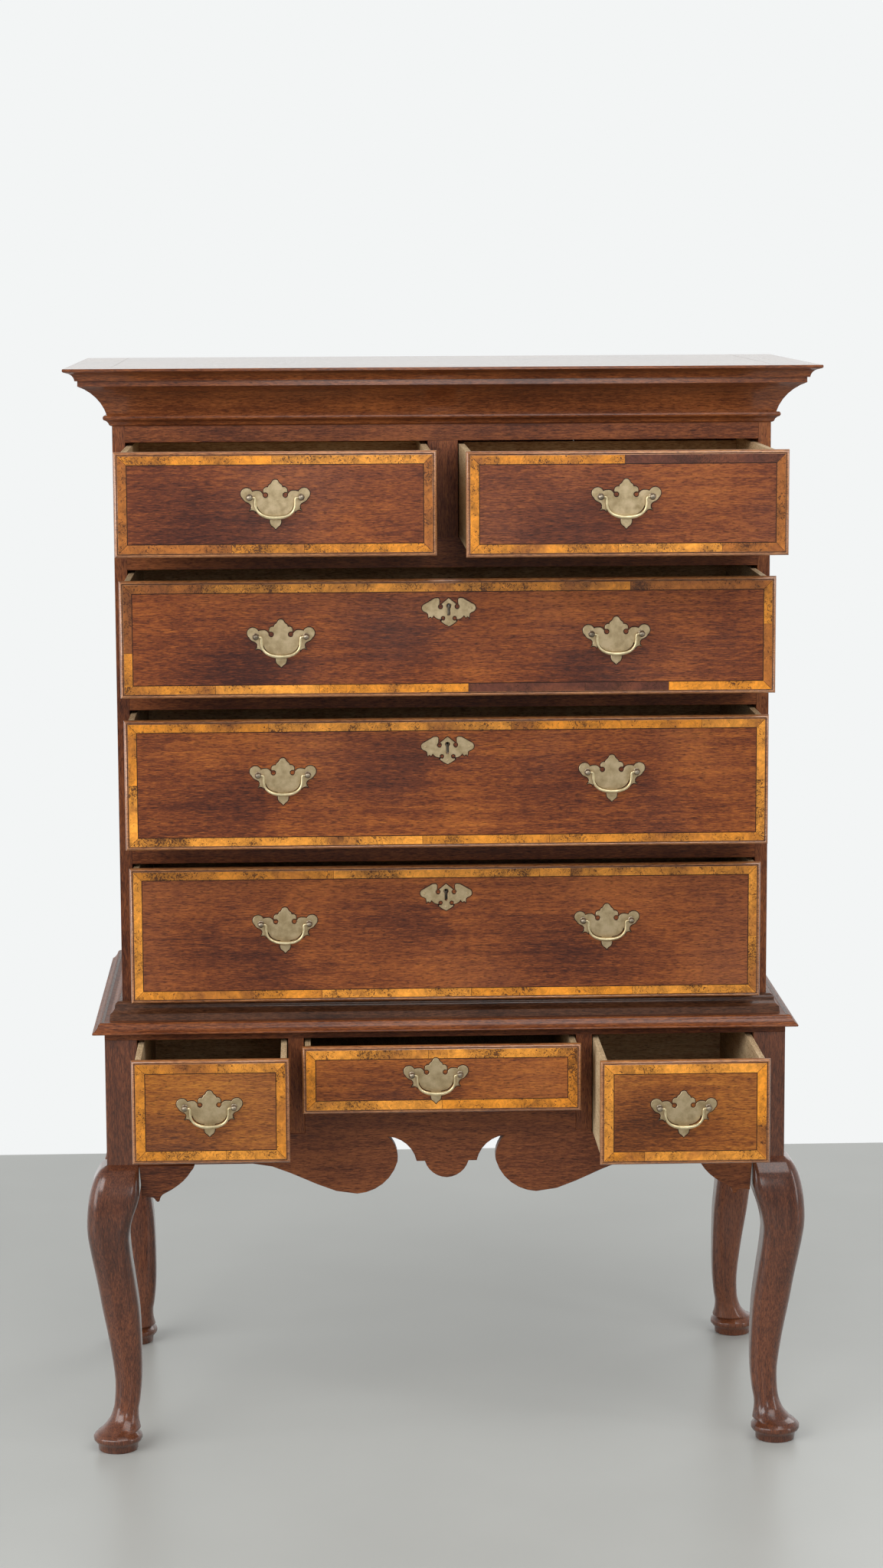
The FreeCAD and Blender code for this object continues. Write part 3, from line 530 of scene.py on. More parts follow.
# the level tops of the base and the waist are darker, as painted shade
SHADED_LEDGE_OAK = Wood("waxed_oak_ledge_painted_shade", "#22130D", "#4C3023", "#765038", Grain.DEEP, seed=14,
                 wax=0.3, polish=0.15)
# the lip's oak is lighter than the case's: its own golden tone, and painted light on the bead's
# upward faces
LIP_OAK = Wood("waxed_oak_lip", "#4C2615", "#925830", "#BE824C", seed=11, gloss=0.5, wax=1.0,
               roughness=0.3, polish=0.12)
LINING_OAK = Wood("bare_oak_lining", "#80603F", "#B89A74", "#D8C09A", Grain.DEEP, seed=6,
                  roughness=0.7, wax=0.0, cloud=0.5, pores=0.4)
LINING_ACROSS = replace(LINING_OAK, name="bare_oak_lining_across", dark="#7A5838",
                        middle="#B48E64", light="#D2B288", grain=Grain.ACROSS, seed=7,
                        roughness=0.72)
HIDDEN_DEEP = Wood("bare_oak_runner", "#4E3824", "#86684A", "#A68A64", Grain.DEEP, seed=8,
                   roughness=0.75, wax=0.0, pores=0.4, cloud=0.2)
HIDDEN_UPRIGHT = replace(HIDDEN_DEEP, name="bare_oak_back", middle="#8A6C4C", light="#AC8E68",
                         grain=Grain.UPRIGHT, seed=9)
HIDDEN_ACROSS = replace(HIDDEN_DEEP, name="bare_oak_board", grain=Grain.ACROSS, seed=10)
# old wax and dust, which lie dark in every joint; the same dark wood is dirt and painted shade in the
# lips' quirks and round the brasses
OLD_WAX_AND_SHADE = Wood("old_wax_and_painted_shade", "#0E0604", "#1C0D08", "#2E1810", seed=13)
BANDING = BurrVeneer("waxed_burr_banding")
PLATE_BRASS = Metal("aged_sheet_brass", "#CBB692", "#A6926E", roughness=0.4)
BAIL_BRASS = Metal("rubbed_cast_brass", "#EADAB0", "#BEAE86", roughness=0.3)
WORN_STEEL = Metal("worn_forged_steel", "#A99C88", "#6C6254", roughness=0.36)
RUBBED_STEEL = Metal("rubbed_forged_steel", "#DEDCD8", "#A4A29E", roughness=0.26)
BLACK_STEEL = Metal("blackened_forged_steel", "#4A443C", "#241F1A", roughness=0.55)


# Making pieces --------------------------------------------------------------------------------
class Piece:
    """A piece in the making, in millimetres. Each of its faces has its board's own number."""

    def __init__(self) -> None:
        """Start without faces."""
        self.shape = bmesh.new()
        self.shape.faces.layers.float.new("board")

    def mark(self, first: int, slot: int, number: float) -> list[bmesh.types.BMFace]:
        """Give faces their material slot and their board's number.

        Args:
            first: How many faces are passed over.
            slot: The material slot.
            number: The number.

        Returns:
            The marked faces.
        """
        self.shape.faces.ensure_lookup_table()
        own = self.shape.faces.layers.float["board"]
        faces = self.shape.faces[first:]
        for face in faces:
            face.material_index = slot
            face[own] = number
        return faces

    def add(self, mesh: bpy.types.Mesh, place: Sequence[float] = (0, 0, 0), slot: int = 0,
            number: float = 0.0) -> None:
        """Add a mesh, and drop it.

        Args:
            mesh: The mesh, in millimetres.
            place: How far it is moved.
            slot: Its faces' material slot.
            number: Its board's own number.
        """
        mesh.transform(Matrix.Translation(place))
        first = len(self.shape.faces)
        self.shape.from_mesh(mesh)
        bpy.data.meshes.remove(mesh)
        self.mark(first, slot, number)

    def add_solid(self, solid: bmesh.types.BMesh, slot: int = 0, number: float = 0.0) -> None:
        """Add a shape where it is, and use it up."""
        mesh = bpy.data.meshes.new("solid")
        solid.to_mesh(mesh)
        solid.free()
        self.add(mesh, slot=slot, number=number)

    def skin(self, rings: Sequence[Sequence[Vector]], slot: int = 0, number: float = 0.0,
             capped: bool = True) -> list[bmesh.types.BMFace]:
        """Join rings of equal length with quads, and close the first and the last.

        Args:
            rings: Rings of points, each in the same order.
            slot: The faces' material slot.
            number: Their board's own number.
            capped: Whether the ends are closed.

        Returns:
            The new faces, ring by ring.
        """
        first = len(self.shape.faces)
        loops = [[self.shape.verts.new(point) for point in ring] for ring in rings]
        for near, far in zip(loops, loops[1:]):
            for corners in zip(near, near[1:] + near[:1], far[1:] + far[:1], far):
                self.shape.faces.new(corners)
        if capped:
            self.shape.faces.new(loops[0][::-1])
            self.shape.faces.new(loops[-1])
        faces = self.mark(first, slot, number)
        bmesh.ops.recalc_face_normals(self.shape, faces=faces)
        return faces

    def turn(self, profile: Sequence[Point], place: Vector, slot: int = 0, sides: int = 20,
             start: float = 0.0) -> None:
        """Turn a profile about an axis that points to the front.

        Args:
            profile: Pairs of how far forward and how far out, from one end to the other.
            place: The point on the axis that the profile starts from.
            slot: The faces' material slot.
            sides: The sides of the turning.
            start: The angle of its first corner, in degrees.
        """
        angles = [math.radians(start) + math.tau * k / sides for k in range(sides)]
        self.skin([[place + Vector((out * math.cos(angle), -forward, out * math.sin(angle)))
                    for angle in angles] for forward, out in profile], slot)

    def settle(self, name: str, finishes: Sequence[Finish], body: str, slot: str,
               *stands_for: str, sharp: float = 32.0) -> None:
        """Make the object, shaded smooth between its sharp edges, and let it ride on its body.

        Args:
            name: The object's name.
            finishes: The finishes of its material slots, in order.
            body: The body that it rides on.
            slot: The record's material slot; not used.
            *stands_for: The CAD nodes that it replaces.
            sharp: The angle from which an edge stays sharp, in degrees.
        """
        mesh = bpy.data.meshes.new(name)
        self.shape.to_mesh(mesh)
        self.shape.free()
        mesh.transform(Matrix.Scale(MM, 4))
        if "custom_normal" in mesh.attributes:
            mesh.attributes.remove(mesh.attributes["custom_normal"])
        for finish in finishes:
            mesh.materials.append(finish.material())
        mesh.shade_smooth()
        mesh.set_sharp_from_angle(angle=math.radians(sharp))
        made = linked(name, mesh)
        # flat faces keep their own normal, and the shading turns within their eased edges
        weighted = made.modifiers.new("weighted", "WEIGHTED_NORMAL")
        weighted.keep_sharp = True
        made.data = evaluated(made)
        made.modifiers.remove(weighted)
        bpy.data.meshes.remove(mesh)
        made.data.name = name
        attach(made, body)
        if stands_for:
            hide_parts(*stands_for)
        log.info("%s rides on %s", name, body)


def slab(outlines: Sequence[Sequence[Point]], thickness: float, edge: float) -> bpy.types.Mesh:
    """Cut a flat piece with bevelled edges from outlines; inner outlines are holes.

    Args:
        outlines: Closed outlines of (across, up) pairs, in millimetres.
        thickness: The piece's thickness, in millimetres.
        edge: The width of the bevel round it, in millimetres.

    Returns:
        A mesh in millimetres whose front face lies at y = -thickness and whose back is at y = 0.
    """
    curve = bpy.data.curves.new("slab", "CURVE")
    curve.dimensions = "2D"
    curve.fill_mode = "BOTH"
    curve.extrude = thickness / 2 - edge
    curve.bevel_depth = edge
    curve.bevel_resolution = 0
    curve.offset = -edge
    for outline in outlines:
        spline = curve.splines.new("POLY")
        spline.points.add(len(outline) - 1)
        for point, (across, up) in zip(spline.points, outline):
            point.co = (across, up, 0, 1)
        spline.use_cyclic_u = True
    holder = linked("slab", curve)
    mesh = evaluated(holder)
    bpy.data.objects.remove(holder)
    bpy.data.curves.remove(curve)
    mesh.transform(Matrix.Translation((0, -thickness / 2, 0)) @ Matrix.Rotation(math.pi / 2, 4, "X"))
    shape = bmesh.new()
    shape.from_mesh(mesh)
    bmesh.ops.remove_doubles(shape, verts=shape.verts, dist=1e-4)
    bmesh.ops.recalc_face_normals(shape, faces=shape.faces)
    shape.to_mesh(mesh)
    shape.free()
    return mesh


def solids_of(node: str) -> list[bmesh.types.BMesh]:
    """Take a CAD node's mesh apart into its closed solids, which lie one after another in it.

    Args:
        node: The node's name.

    Returns:
        One shape for each solid, with its corners merged, in millimetres.
    """
    mesh = frame["nodes"][node].data
    places = [tuple(round(c, 6) for c in vertex.co) for vertex in mesh.vertices]
    solids: list[bmesh.types.BMesh] = []
    unmatched: dict[tuple, int] = {}
    corners: dict[tuple, bmesh.types.BMVert] = {}
    shape = bmesh.new()
    for triangle in mesh.polygons:
        keys = [places[index] for index in triangle.vertices]
        for key in keys:
            if key not in corners:
                corners[key] = shape.verts.new(Vector(key) / MM)
        if len(set(keys)) == 3:
            shape.faces.new([corners[key] for key in keys])
        for start, end in zip(keys, keys[1:] + keys[:1]):
            if unmatched.get((end, start)):
                unmatched[end, start] -= 1
                if not unmatched[end, start]:
                    del unmatched[end, start]
            else:
                unmatched[start, end] = unmatched.get((start, end), 0) + 1
        if not unmatched:
            solids.append(shape)
            shape, corners = bmesh.new(), {}
    return solids


def extent(shape: bmesh.types.BMesh) -> tuple[Vector, Vector]:
    """A shape's lowest and highest corners."""
    columns = list(zip(*(vertex.co for vertex in shape.verts)))
    return Vector([min(column) for column in columns]), Vector([max(column) for column in columns])


def softened(shape: bmesh.types.BMesh, width: float, fold: float = 25.0) -> None:
    """Ease a shape's edges, as a plane and years of handling leave them.

    Args:
        shape: A closed solid, in millimetres.
        width: How far the rounding reaches from each edge, in millimetres.
        fold: The angle from which an edge is eased, in degrees.
    """
    bmesh.ops.dissolve_limit(shape, angle_limit=math.radians(1), verts=shape.verts,
                             edges=shape.edges)
    edges = [edge for edge in shape.edges
             if edge.is_manifold and edge.calc_face_angle(0) > math.radians(fold)]
    bmesh.ops.bevel(shape, geom=edges, offset=width, segments=2, profile=0.6, affect="EDGES",
                    clamp_overlap=True)


# Boards ---------------------------------------------------------------------------------------
CASE_BOARDS = {
    "case_top_board": TOP_OAK, "case_side_left": SIDE_OAK, "case_side_right": SIDE_OAK,
    "case_bottom_board": HIDDEN_ACROSS, "case_back_boards": HIDDEN_UPRIGHT,
    "case_rails": CASE_OAK, "case_muntin": SIDE_OAK, "case_runners": HIDDEN_DEEP,
    "stand_top_board": STAND_OAK, "stand_side_boards": SIDE_DEEP,
    "stand_back_board": HIDDEN_ACROSS, "stand_muntins": SIDE_OAK, "stand_runners": HIDDEN_DEEP,
}


@dataclass
class Boards:
    """The case's and the stand's plain boards, and the drawers' boxes. Each board keeps its CAD
    size, gets eased edges, and has grain of its own."""

    edge: float = 0.7
    seed: int = 7

    def build(self) -> None:
        """Make every board from its CAD solid."""
        dice = random.Random(self.seed)
        record = frame["record"]
        slots = {row["node"]: row["material_slot"] for row in record["subparts"]}
        groups = [(node, "case", [wood]) for node, wood in CASE_BOARDS.items()]
        groups += [(node, body, [LINING_OAK, LINING_ACROSS])
                   for body, nodes in record["behaviour"]["bodies"].items()
                   for node in nodes if node.endswith("_box")]
        for node, body, woods in groups:
            piece = Piece()
            for solid in solids_of(node):
                softened(solid, self.edge)
                low, high = extent(solid)
                # a box's sides and bottom run deep, and its back runs across
                across = len(woods) > 1 and high.x - low.x > high.y - low.y
                piece.add_solid(solid, int(across), dice.random())
            piece.settle(node + "_boards", woods, body, slots[node], node)


@dataclass
class Apron:
    """The stand's front board. Its upper edge steps round the uprights between the drawers, and
    its lower edge is sawn to a pendant between two hooks and two scrolls."""

    edge: float = 0.7
    upright: float = 23.0
    upright_foot: float = 5.0
    own_number: float = 0.4
    # the scroll's right half, from the post to the middle, about the height of its flat ends
    scroll: Outline = (
        (283, 0), (252, -5.5, 228, -15), (190, -32), (161, -43, 131, -47.3),
        (92, -31.5, 72, 0), (73.4, 19.5, 85.3, 37.8), (61.5, 28.5, 44, 0.5), (32, 0.5),
        (17.5, -19, 0, -24.5))
    flat_ends: float = 431.0

    def build(self) -> None:
        """Saw the board out."""
        low, high = box_mm("apron_front")
        uprights_low, uprights_high = box_mm("stand_muntins")
        shoulder = uprights_low.z
        deep = shoulder - self.upright_foot
        lower = [(x, self.flat_ends + z) for x, z in drawn(mirrored([(high.x, 0), *self.scroll]))]
        # the two uprights don't stand at the same distance from the middle
        left, right = (
            [(end, deep), (outer, deep), (outer, shoulder), (inner, shoulder), (inner, high.z)]
            for end, outer, inner in (
                (low.x, uprights_low.x, uprights_low.x + self.upright),
                (high.x, uprights_high.x, uprights_high.x - self.upright)))
        piece = Piece()
        piece.add(slab([[*lower, *left, *reversed(right)]], high.y - low.y, self.edge),
                  (0, high.y, 0), number=self.own_number)
        piece.settle("apron_front_sawn", [STAND_OAK], "case", "stand_wood", "apron_front")


@dataclass
class KneeBrackets:
    """The sawn brackets that turn from the legs' knees to the apron and to the side boards."""

    edge: float = 0.7
    least_depth: float = 45.0
    # from the upper corner at the leg, along under the board, round the ogee and back to the leg
    ogee: Outline = (
        (0, 0), (-80.5, 0), (-78.6, -4.6, -75.5, -8.5), (-66.5, -20.5, -57, -29),
        (-46.5, -36.2, -36.5, -41.5), (-31.5, -45.5, -29.4, -50.6), (-28.2, -53.2, -26.5, -54),
        (-24.4, -53, -22.4, -50.2), (-19.5, -47.7, -15.5, -47.2), (-8, -47.4, 0, -50))

    def build(self) -> None:
        """Saw out a bracket in the place of each solid of the CAD node."""
        outline = drawn(self.ogee, FINE_TURN)[:-1]
        solids = solids_of("knee_brackets")
        piece = Piece()
        for number, solid in enumerate(solids):
            low, high = extent(solid)
            size = high - low
            along = 0 if size.x > size.y else 1
            # only at its leg's end is a bracket deeper than this
            deep = [v.co[along] for v in solid.verts if v.co.z < high.z - self.least_depth]
            solid.free()
            side = 1 if sum(deep) / len(deep) > (low[along] + high[along]) / 2 else -1
            place = Vector((low.x, high.y, high.z))
            place[along] = high[along] if side > 0 else low[along]
            bracket = slab([[(side * x, z) for x, z in outline]], size[1 - along], self.edge)
            bracket.transform(Matrix.Rotation(along * math.pi / 2, 4, "Z"))
            piece.add(bracket, place, number=number / len(solids))
        piece.settle("knee_brackets_sawn", [STAND_OAK], "case", "leg_wood", "knee_brackets")


# Mouldings ------------------------------------------------------------------------------------
CORNICE_UP = 82.5
CORNICE_OUT = 65.0
CORNICE = (
    (0, 0), (0.8, 0.1), (2.4, 0.7, 3.8, 1.8), (6.3, 6.2, 10.5, 8.7), (12.2, 11.9, 10.4, 15.1),
    (6.5, 15.2), (18.8, CORNICE_UP - 44, 45.1, CORNICE_UP - 24.8), (45, CORNICE_UP - 17.7),
    (48.8, CORNICE_UP - 17.3),
    (51.6, CORNICE_UP - 10.4, CORNICE_OUT - 7, CORNICE_UP - 6.3),
    (CORNICE_OUT - 1.5, CORNICE_UP - 4.6), (CORNICE_OUT, CORNICE_UP - 3.4),
    (CORNICE_OUT, CORNICE_UP - 0.8), (CORNICE_OUT - 0.8, CORNICE_UP), (0, CORNICE_UP),
)
BASE = ((0, 0), (18.1, 0), (17.1, 10), (12, 15, 10.4, 19), (8.6, 24.8, 4.5, 27), (0, 27))
WAIST = ((25.5, 0), (40.7, 0), (42.4, 1.4, 42, 3), (36.6, 7.6, 34.5, 11), (32.6, 14.8, 28, 16),
         (25.5, 16))


@dataclass
class Moulding:
    """One length of moulding along the front and two mitred returns, planed to one profile.

    The profile runs outwards from the case's face and upwards from the moulding's foot. The
    front's grain runs across and the returns' grain runs back. The level tops take a wood of
    their own: the top board's on the cornice, and on the base and the waist a darker one that
    paints the shade on them."""

    node: str
    profile: Outline
    wood: Wood
    level_wood: Wood
    slot: str = "case_wood"
    mitre_gap: float = 0.25
    numbers: tuple[float, float, float] = (0.2, 0.5, 0.35)

    def build(self) -> None:
        """Sweep the profile along the three sides."""
        foot = box_mm(self.node)[0].z
        case_low, case_high = box_mm("case_side_right")
        half, front, back = case_high.x, case_low.y, case_high.y
        points = drawn(self.profile, FINE_TURN)
        gap = self.mitre_gap
        front_number, *return_numbers = self.numbers
        piece = Piece()
        piece.skin([[Vector((side * (half + out - gap), front - out, foot + up))
                     for out, up in points] for side in (-1, 1)], number=front_number)
        for side, number in zip((-1, 1), return_numbers):
            mitre = [Vector((side * (half + out), front - out + gap, foot + up))
                     for out, up in points]
            end = [Vector((point.x, back, point.z)) for point in mitre]
            piece.skin([mitre, end], 1, number)
        piece.shape.normal_update()
        # the level tops take the level wood, which on the base and the waist paints their shade
        for face in piece.shape.faces:
            if face.normal.z > SQUARE_ON:
                face.material_index = 2
        piece.settle(self.node + "_lengths", [self.wood, SIDE_DEEP, self.level_wood], "case",
                     self.slot, self.node, sharp=24)


# Cabriole legs --------------------------------------------------------------------------------
@dataclass
class CabrioleLeg:
    """One leg, sawn and shaved from one piece: square post, knee, shank, ankle and pad foot.

    Each station has its height, how far its outer sides stand beyond the post's outer faces,
    how far its inner sides have moved outwards, and its outer, side and inner corner radii."""

    post: float = 47.0
    rows: int = 4
    corner_points: int = 7
    side_spaces: int = 4
    stations: Outline = (
        (617.5, 0, 0, 1.4, 1.4, 1.4), (432, 0, 0, 1.4, 1.4, 1.4), (430.6, 2.6, 0, 4, 2, 2),
        (424.5, 11.0, 0.5, 12, 5, 2), (408, 20.5, 0.5, 19, 9, 3), (385, 26.5, 0.9, 22, 13, 4),
        (350, 30, 12, 23, 15, 6), (322, 28.8, 15.8, 23, 15, 7), (249, 16.5, 8, 21, 15, 9),
        (212, 11, 3.9, 21, 15, 10), (166, 3, 2, 19, 15, 11), (127, -2.5, 1.6, 18, 15, 12),
        (99, -5, 2.6, 17, 15, 13), (71, -4, 5.6, 17, 16, 14), (57, -1.5, 8, 18, 17, 16),
        (43, 4.5, 7.6, 21, 20.5, 20), (31, 15.5, 5.0, 28, 28, 28),
    )
    # the pad foot's outline: height and radius about its own axis
    foot: Outline = ((28.4, 29.6), (26.4, 31.4), (23.2, 34.8), (21.2, 35.9), (19.2, 36),
                     (17.2, 35.9), (15.4, 35.3), (13, 33.2), (9, 29.5), (2, 29), (0.6, 28.6),
                     (0, 27.6))
    foot_axis: float = -8.5

    def section(self, low: float, high: float, outer: float, side: float,
                inner: float) -> list[Vector]:
        """Draw one rounded square.

        Args:
            low, high: Where its inner and its outer sides lie.
            outer, side, inner: The radii of its corners.

        Returns:
            Its points, from the inner corner round.
        """
        arcs = []
        corners = ((low, low, 1, 1, inner), (high, low, -1, 1, side), (high, high, -1, -1, outer),
                   (low, high, 1, -1, side))
        for quarter, (x, y, in_x, in_y, radius) in enumerate(corners):
            radius = min(radius, (high - low) / 2)
            angles = [math.pi + math.pi / 2 * (quarter + k / (self.corner_points - 1))
                      for k in range(self.corner_points)]
            arcs.append([Vector((x + radius * (in_x + math.cos(angle)),
                                 y + radius * (in_y + math.sin(angle)))) for angle in angles])
        points = []
        for arc, after in zip(arcs, arcs[1:] + arcs[:1]):
            points += arc
            points += [arc[-1].lerp(after[0], k / self.side_spaces)
                       for k in range(1, self.side_spaces)]
        return points

    def between(self, index: int, share: float) -> list[float]:
        """Find a station between two given ones, on a smooth curve through them all.

        Args:
            index: The upper one's place in the list.
            share: How far the station is on its way to the lower one.

        Returns:
            The station.
        """
        last = len(self.stations) - 1
        before, start, end, after = (self.stations[max(0, min(last, index + k))]
                                     for k in (-1, 0, 1, 2))
        span = end[0] - start[0]
        square, cube = share ** 2, share ** 3
        station = [start[0] + span * share]
        for a, b, c, d in zip(before[1:], start[1:], end[1:], after[1:]):
            inward = (c - a) / (end[0] - before[0])
            onward = (d - b) / (after[0] - start[0])
            station.append(b * (2 * cube - 3 * square + 1) + c * (3 * square - 2 * cube)
                           + span * inward * (cube - 2 * square + share)
                           + span * onward * (cube - square))
        return station

    def build(self, node: str, number: float) -> None:
        """Make one leg in its corner.

        Args:
            node: The CAD node of this leg.
            number: Its own number for the grain.
        """
        side = 1 if node.endswith("right") else -1
        end = 1 if "rear" in node else -1
        top_low, top_high = box_mm("stand_top_board")
        face_y = top_high.y if end > 0 else top_low.y
        rows = list(self.stations[:2])
        for index in range(1, len(self.stations) - 1):
            steps = 1 if index == 1 else self.rows
            rows += [self.between(index, (k + 1) / steps) for k in range(steps)]
        flats = [(height, self.section(inner - self.post, outer, *radii))
                 for height, outer, inner, *radii in rows]
        flats += [(height, self.section(self.foot_axis - radius, self.foot_axis + radius,
                                        radius, radius, radius)) for height, radius in self.foot]
        piece = Piece()
        piece.skin([[Vector((side * (top_high.x + u), face_y + end * v, height)) for u, v in flat]
                    for height, flat in flats], number=number)
        piece.settle(node + "_carved", [LEG_OAK], "case", "leg_wood", node, sharp=40)


# Drawer fronts --------------------------------------------------------------------------------
@dataclass(frozen=True)
class Veneering:
    """How one front is veneered: the dark, middle and light tones of its field, how much lighter
    the field is than its leaf would make it, and its four borders. A border has the shares of its
    side at which it is cut, from left to right or from below, and its lengths' leaves."""

    tones: tuple[str, str, str]
    lift: float
    top: Cuts
    bottom: Cuts
    left: Cuts
    right: Cuts


FRONTS = {
    "top_left": Veneering(
        ("#3A1B14", "#72381F", "#A86029"), -0.16, ((0.49,), (0.72, 0.55)),
        ((0.36, 0.59), (0.22, 0.4, 0.74)), ((), (0.27,)), ((), (0.3,))),
    "top_right": Veneering(
        ("#3C1D15", "#74391F", "#A25E2B"), -0.04, ((0.49,), (0.76, 0.05)),
        ((0.47, 0.8), (0.42, 0.6, 0.24)), ((), (0.7,)), ((), (0.28,))),
    "second": Veneering(
        ("#3A1B14", "#783A1C", "#AC6228"), -0.03, ((0.12, 0.55, 0.78), (0.25, 0.6, 0.44, 0.2)),
        ((0.14, 0.3, 0.53, 0.71, 0.84), (0.44, 0.62, 0.75, 0.1, 0.02, 0.73)),
        ((0.38,), (0.42, 0.3)), ((0.6,), (0.22, 0.35))),
    "third": Veneering(
        ("#3A1B13", "#76391D", "#AC6428"), -0.01, ((0.22, 0.6, 0.9), (0.74, 0.58, 0.77, 0.5)),
        ((0.46, 0.66), (0.62, 0.4, 0.46)), ((0.5,), (0.6, 0.7)), ((0.5,), (0.5, 0.66))),
    "fourth": Veneering(
        ("#3A1B13", "#743A1E", "#A45E2A"), 0.02, ((0.32, 0.7), (0.48, 0.66, 0.58)),
        ((0.3, 0.54, 0.8), (0.44, 0.55, 0.71, 0.6)), ((), (0.52,)), ((0.45,), (0.5, 0.58))),
    "stand_left": Veneering(
        ("#48230F", "#8A4B1C", "#B67428"), -0.03, ((0.55,), (0.46, 0.52)),
        ((0.2, 0.6), (0.45, 0.64, 0.56)), ((), (0.4,)), ((), (0.48,))),
    "stand_middle": Veneering(
        ("#442014", "#7C401E", "#AC662A"), 0.02, ((0.45,), (0.62, 0.5)),
        ((0.5,), (0.55, 0.72)), ((), (0.7,)), ((), (0.74,))),
    "stand_right": Veneering(
        ("#462310", "#86481E", "#B2702A"), -0.06, ((), (0.57,)),
        ((0.25,), (0.7, 0.61)), ((), (0.63,)), ((), (0.68,))),
}
LOCKED = ("second", "third", "fourth")
KEYHOLE = ((0, 3.5), (3.03, 1.75, 2.8, -2.1), (2.1, -2.8), (2.1, -12), (1.5, -13.1, 0, -13.6))


@dataclass
class DrawerFront:
    """One lipped front: an oak board, and on it a field of oak veneer inside a border of burr
    cross-banding, which was laid in lengths and mitred at the corners."""

    name: str
    veneering: Veneering
    field: Wood
    keyhole: float | None
    band: float
    margin: float = 5.5
    veneer: float = 0.5
    proud: float = 0.16
    veneer_edge: float = 0.1
    line: float = 0.9
    seam: float = 0.45
    board_number: float = 0.5
    eased: float = 0.35
    eased_fold: float = 20.0
    # the lip's bead, then the quirk inside it and the way back through the board: how far in
    # from the edge, and how far behind the face
    bead: tuple[Point, ...] = ((0.05, 4.5), (0.28, 3.08), (1.15, 1.56), (2.3, 0.62), (3.2, 0.3),
                               (3.75, 0.42), (4.05, 0.78))
    quirk: tuple[Point, ...] = ((4.85, 0.78), (5.05, 0.12), (5.5, -0.02), (5.5, 2.0), (3.0, 4.5))

    def build(self) -> None:
        """Make the board with its bead, and its veneers."""
        self.build_board()
        self.build_veneers()

    def build_board(self) -> None:
        """Make the board and plant the bead on its lip; dark old wax shows in the joints between the
        leaves, and the same dark wood on the quirk's floor is dirt and painted shade in the groove."""
        node = f"drawer_{self.name}_front"
        low, high = box_mm(node)
        piece = Piece()
        for solid in solids_of(node):
            softened(solid, self.eased, self.eased_fold)
            piece.add_solid(solid, number=self.board_number)
        for face in piece.shape.faces:
            face.material_index = int(face.normal.y < -SQUARE_ON)
        line = [*self.bead, *self.quirk]
        corners = [(low.x, low.z, 1, 1), (high.x, low.z, -1, 1), (high.x, high.z, -1, -1),
                   (low.x, high.z, 1, -1), (low.x, low.z, 1, 1)]
        faces = piece.skin([[Vector((x + side * u, low.y + back, z + rise * u))
                             for u, back in line] for x, z, side, rise in corners],
                           number=self.board_number, capped=False)
        # the quirk's floor takes the dark wax: dirt, and painted shade in the groove
        for index, face in enumerate(faces):
            face.material_index = int(index % len(line) == len(self.bead) - 1)
        bmesh.ops.remove_doubles(piece.shape, verts=piece.shape.verts, dist=1e-5)
        piece.settle(node + "_board", [LIP_OAK, OLD_WAX_AND_SHADE], f"drawer_{self.name}",
                     "drawer_front_wood", node, sharp=30)

    def build_veneers(self) -> None:
        """Lay the field, and round it the lengths of the four borders."""
        node = f"drawer_{self.name}_front"
        low, high = box_mm(node)
        band = self.band
        left, right = low.x + self.margin, high.x - self.margin
        bottom, top = low.z + self.margin, high.z - self.margin
        place = (0, low.y + self.veneer - self.proud, 0)
        piece = Piece()
        field = rectangle(left + band, bottom + band, right - band, top - band)
        holes = []
        if self.keyhole is not None:
            holes = [[(x, z + self.keyhole) for x, z in drawn(mirrored(KEYHOLE))[:-1]]]
        piece.add(slab([shrunk(field, self.line), *holes], self.veneer, self.veneer_edge), place,
                  0, self.board_number)
        for (cuts, leaves), upright, outer, inward in (
                (self.veneering.top, False, top, -band),
                (self.veneering.bottom, False, bottom, band),
                (self.veneering.left, True, left, band),
                (self.veneering.right, True, right, -band)):
            begin, end = (bottom, top) if upright else (left, right)
            ends = [begin, *(begin + share * (end - begin) for share in cuts), end]
            for start, stop, leaf in zip(ends, ends[1:], leaves):
                near = start + band if start == begin else start
                far = stop - band if stop == end else stop
                path = [(start, outer), (near, outer + inward), (far, outer + inward),
                        (stop, outer)]
                if upright:
                    path = [(x, z) for z, x in path]
                # each length's outline has to run anticlockwise
                if upright == (inward < 0):
                    path.reverse()
                piece.add(slab([shrunk(path, self.seam / 2)], self.veneer, self.veneer_edge),
                          place, 1, leaf)
        piece.settle(node + "_veneer", [self.field, BANDING], f"drawer_{self.name}",
                     "drawer_front_wood", sharp=30)


# Brasses --------------------------------------------------------------------------------------
PLATE = (
    (0, 23.5), (3, 22.5, 4.4, 20.2), (6.2, 17.8), (8.9, 15.8), (9.2, 14.3, 9.9, 13.2),
    (14.1, 12.5, 15.9, 9.4), (16.2, 7.2), (15.14, 5.87), (10.61, 0.17, 16.88, 3.87),
    (18.2, 5.6), (21.2, 8.1, 25, 8.6),
    (28.4, 8.3, 31.3, 7.2), (40.6, 12.1, 43.7, -1.7), (41.4, -4.9, 37.5, -7.2),
    (34.2, -9.3, 32.6, -12.3), (33.4, -16, 35.6, -19), (33, -17.5, 30.6, -17.6),
    (28.6, -18.3, 27, -20.3), (26.3, -16, 24.3, -12.2), (20.5, -19.3, 12, -24.3), (7.6, -24.8),
    (6.7, -29), (7.3, -34.6, 5.8, -38.2), (2.6, -40.6), (0, -43.4),
)
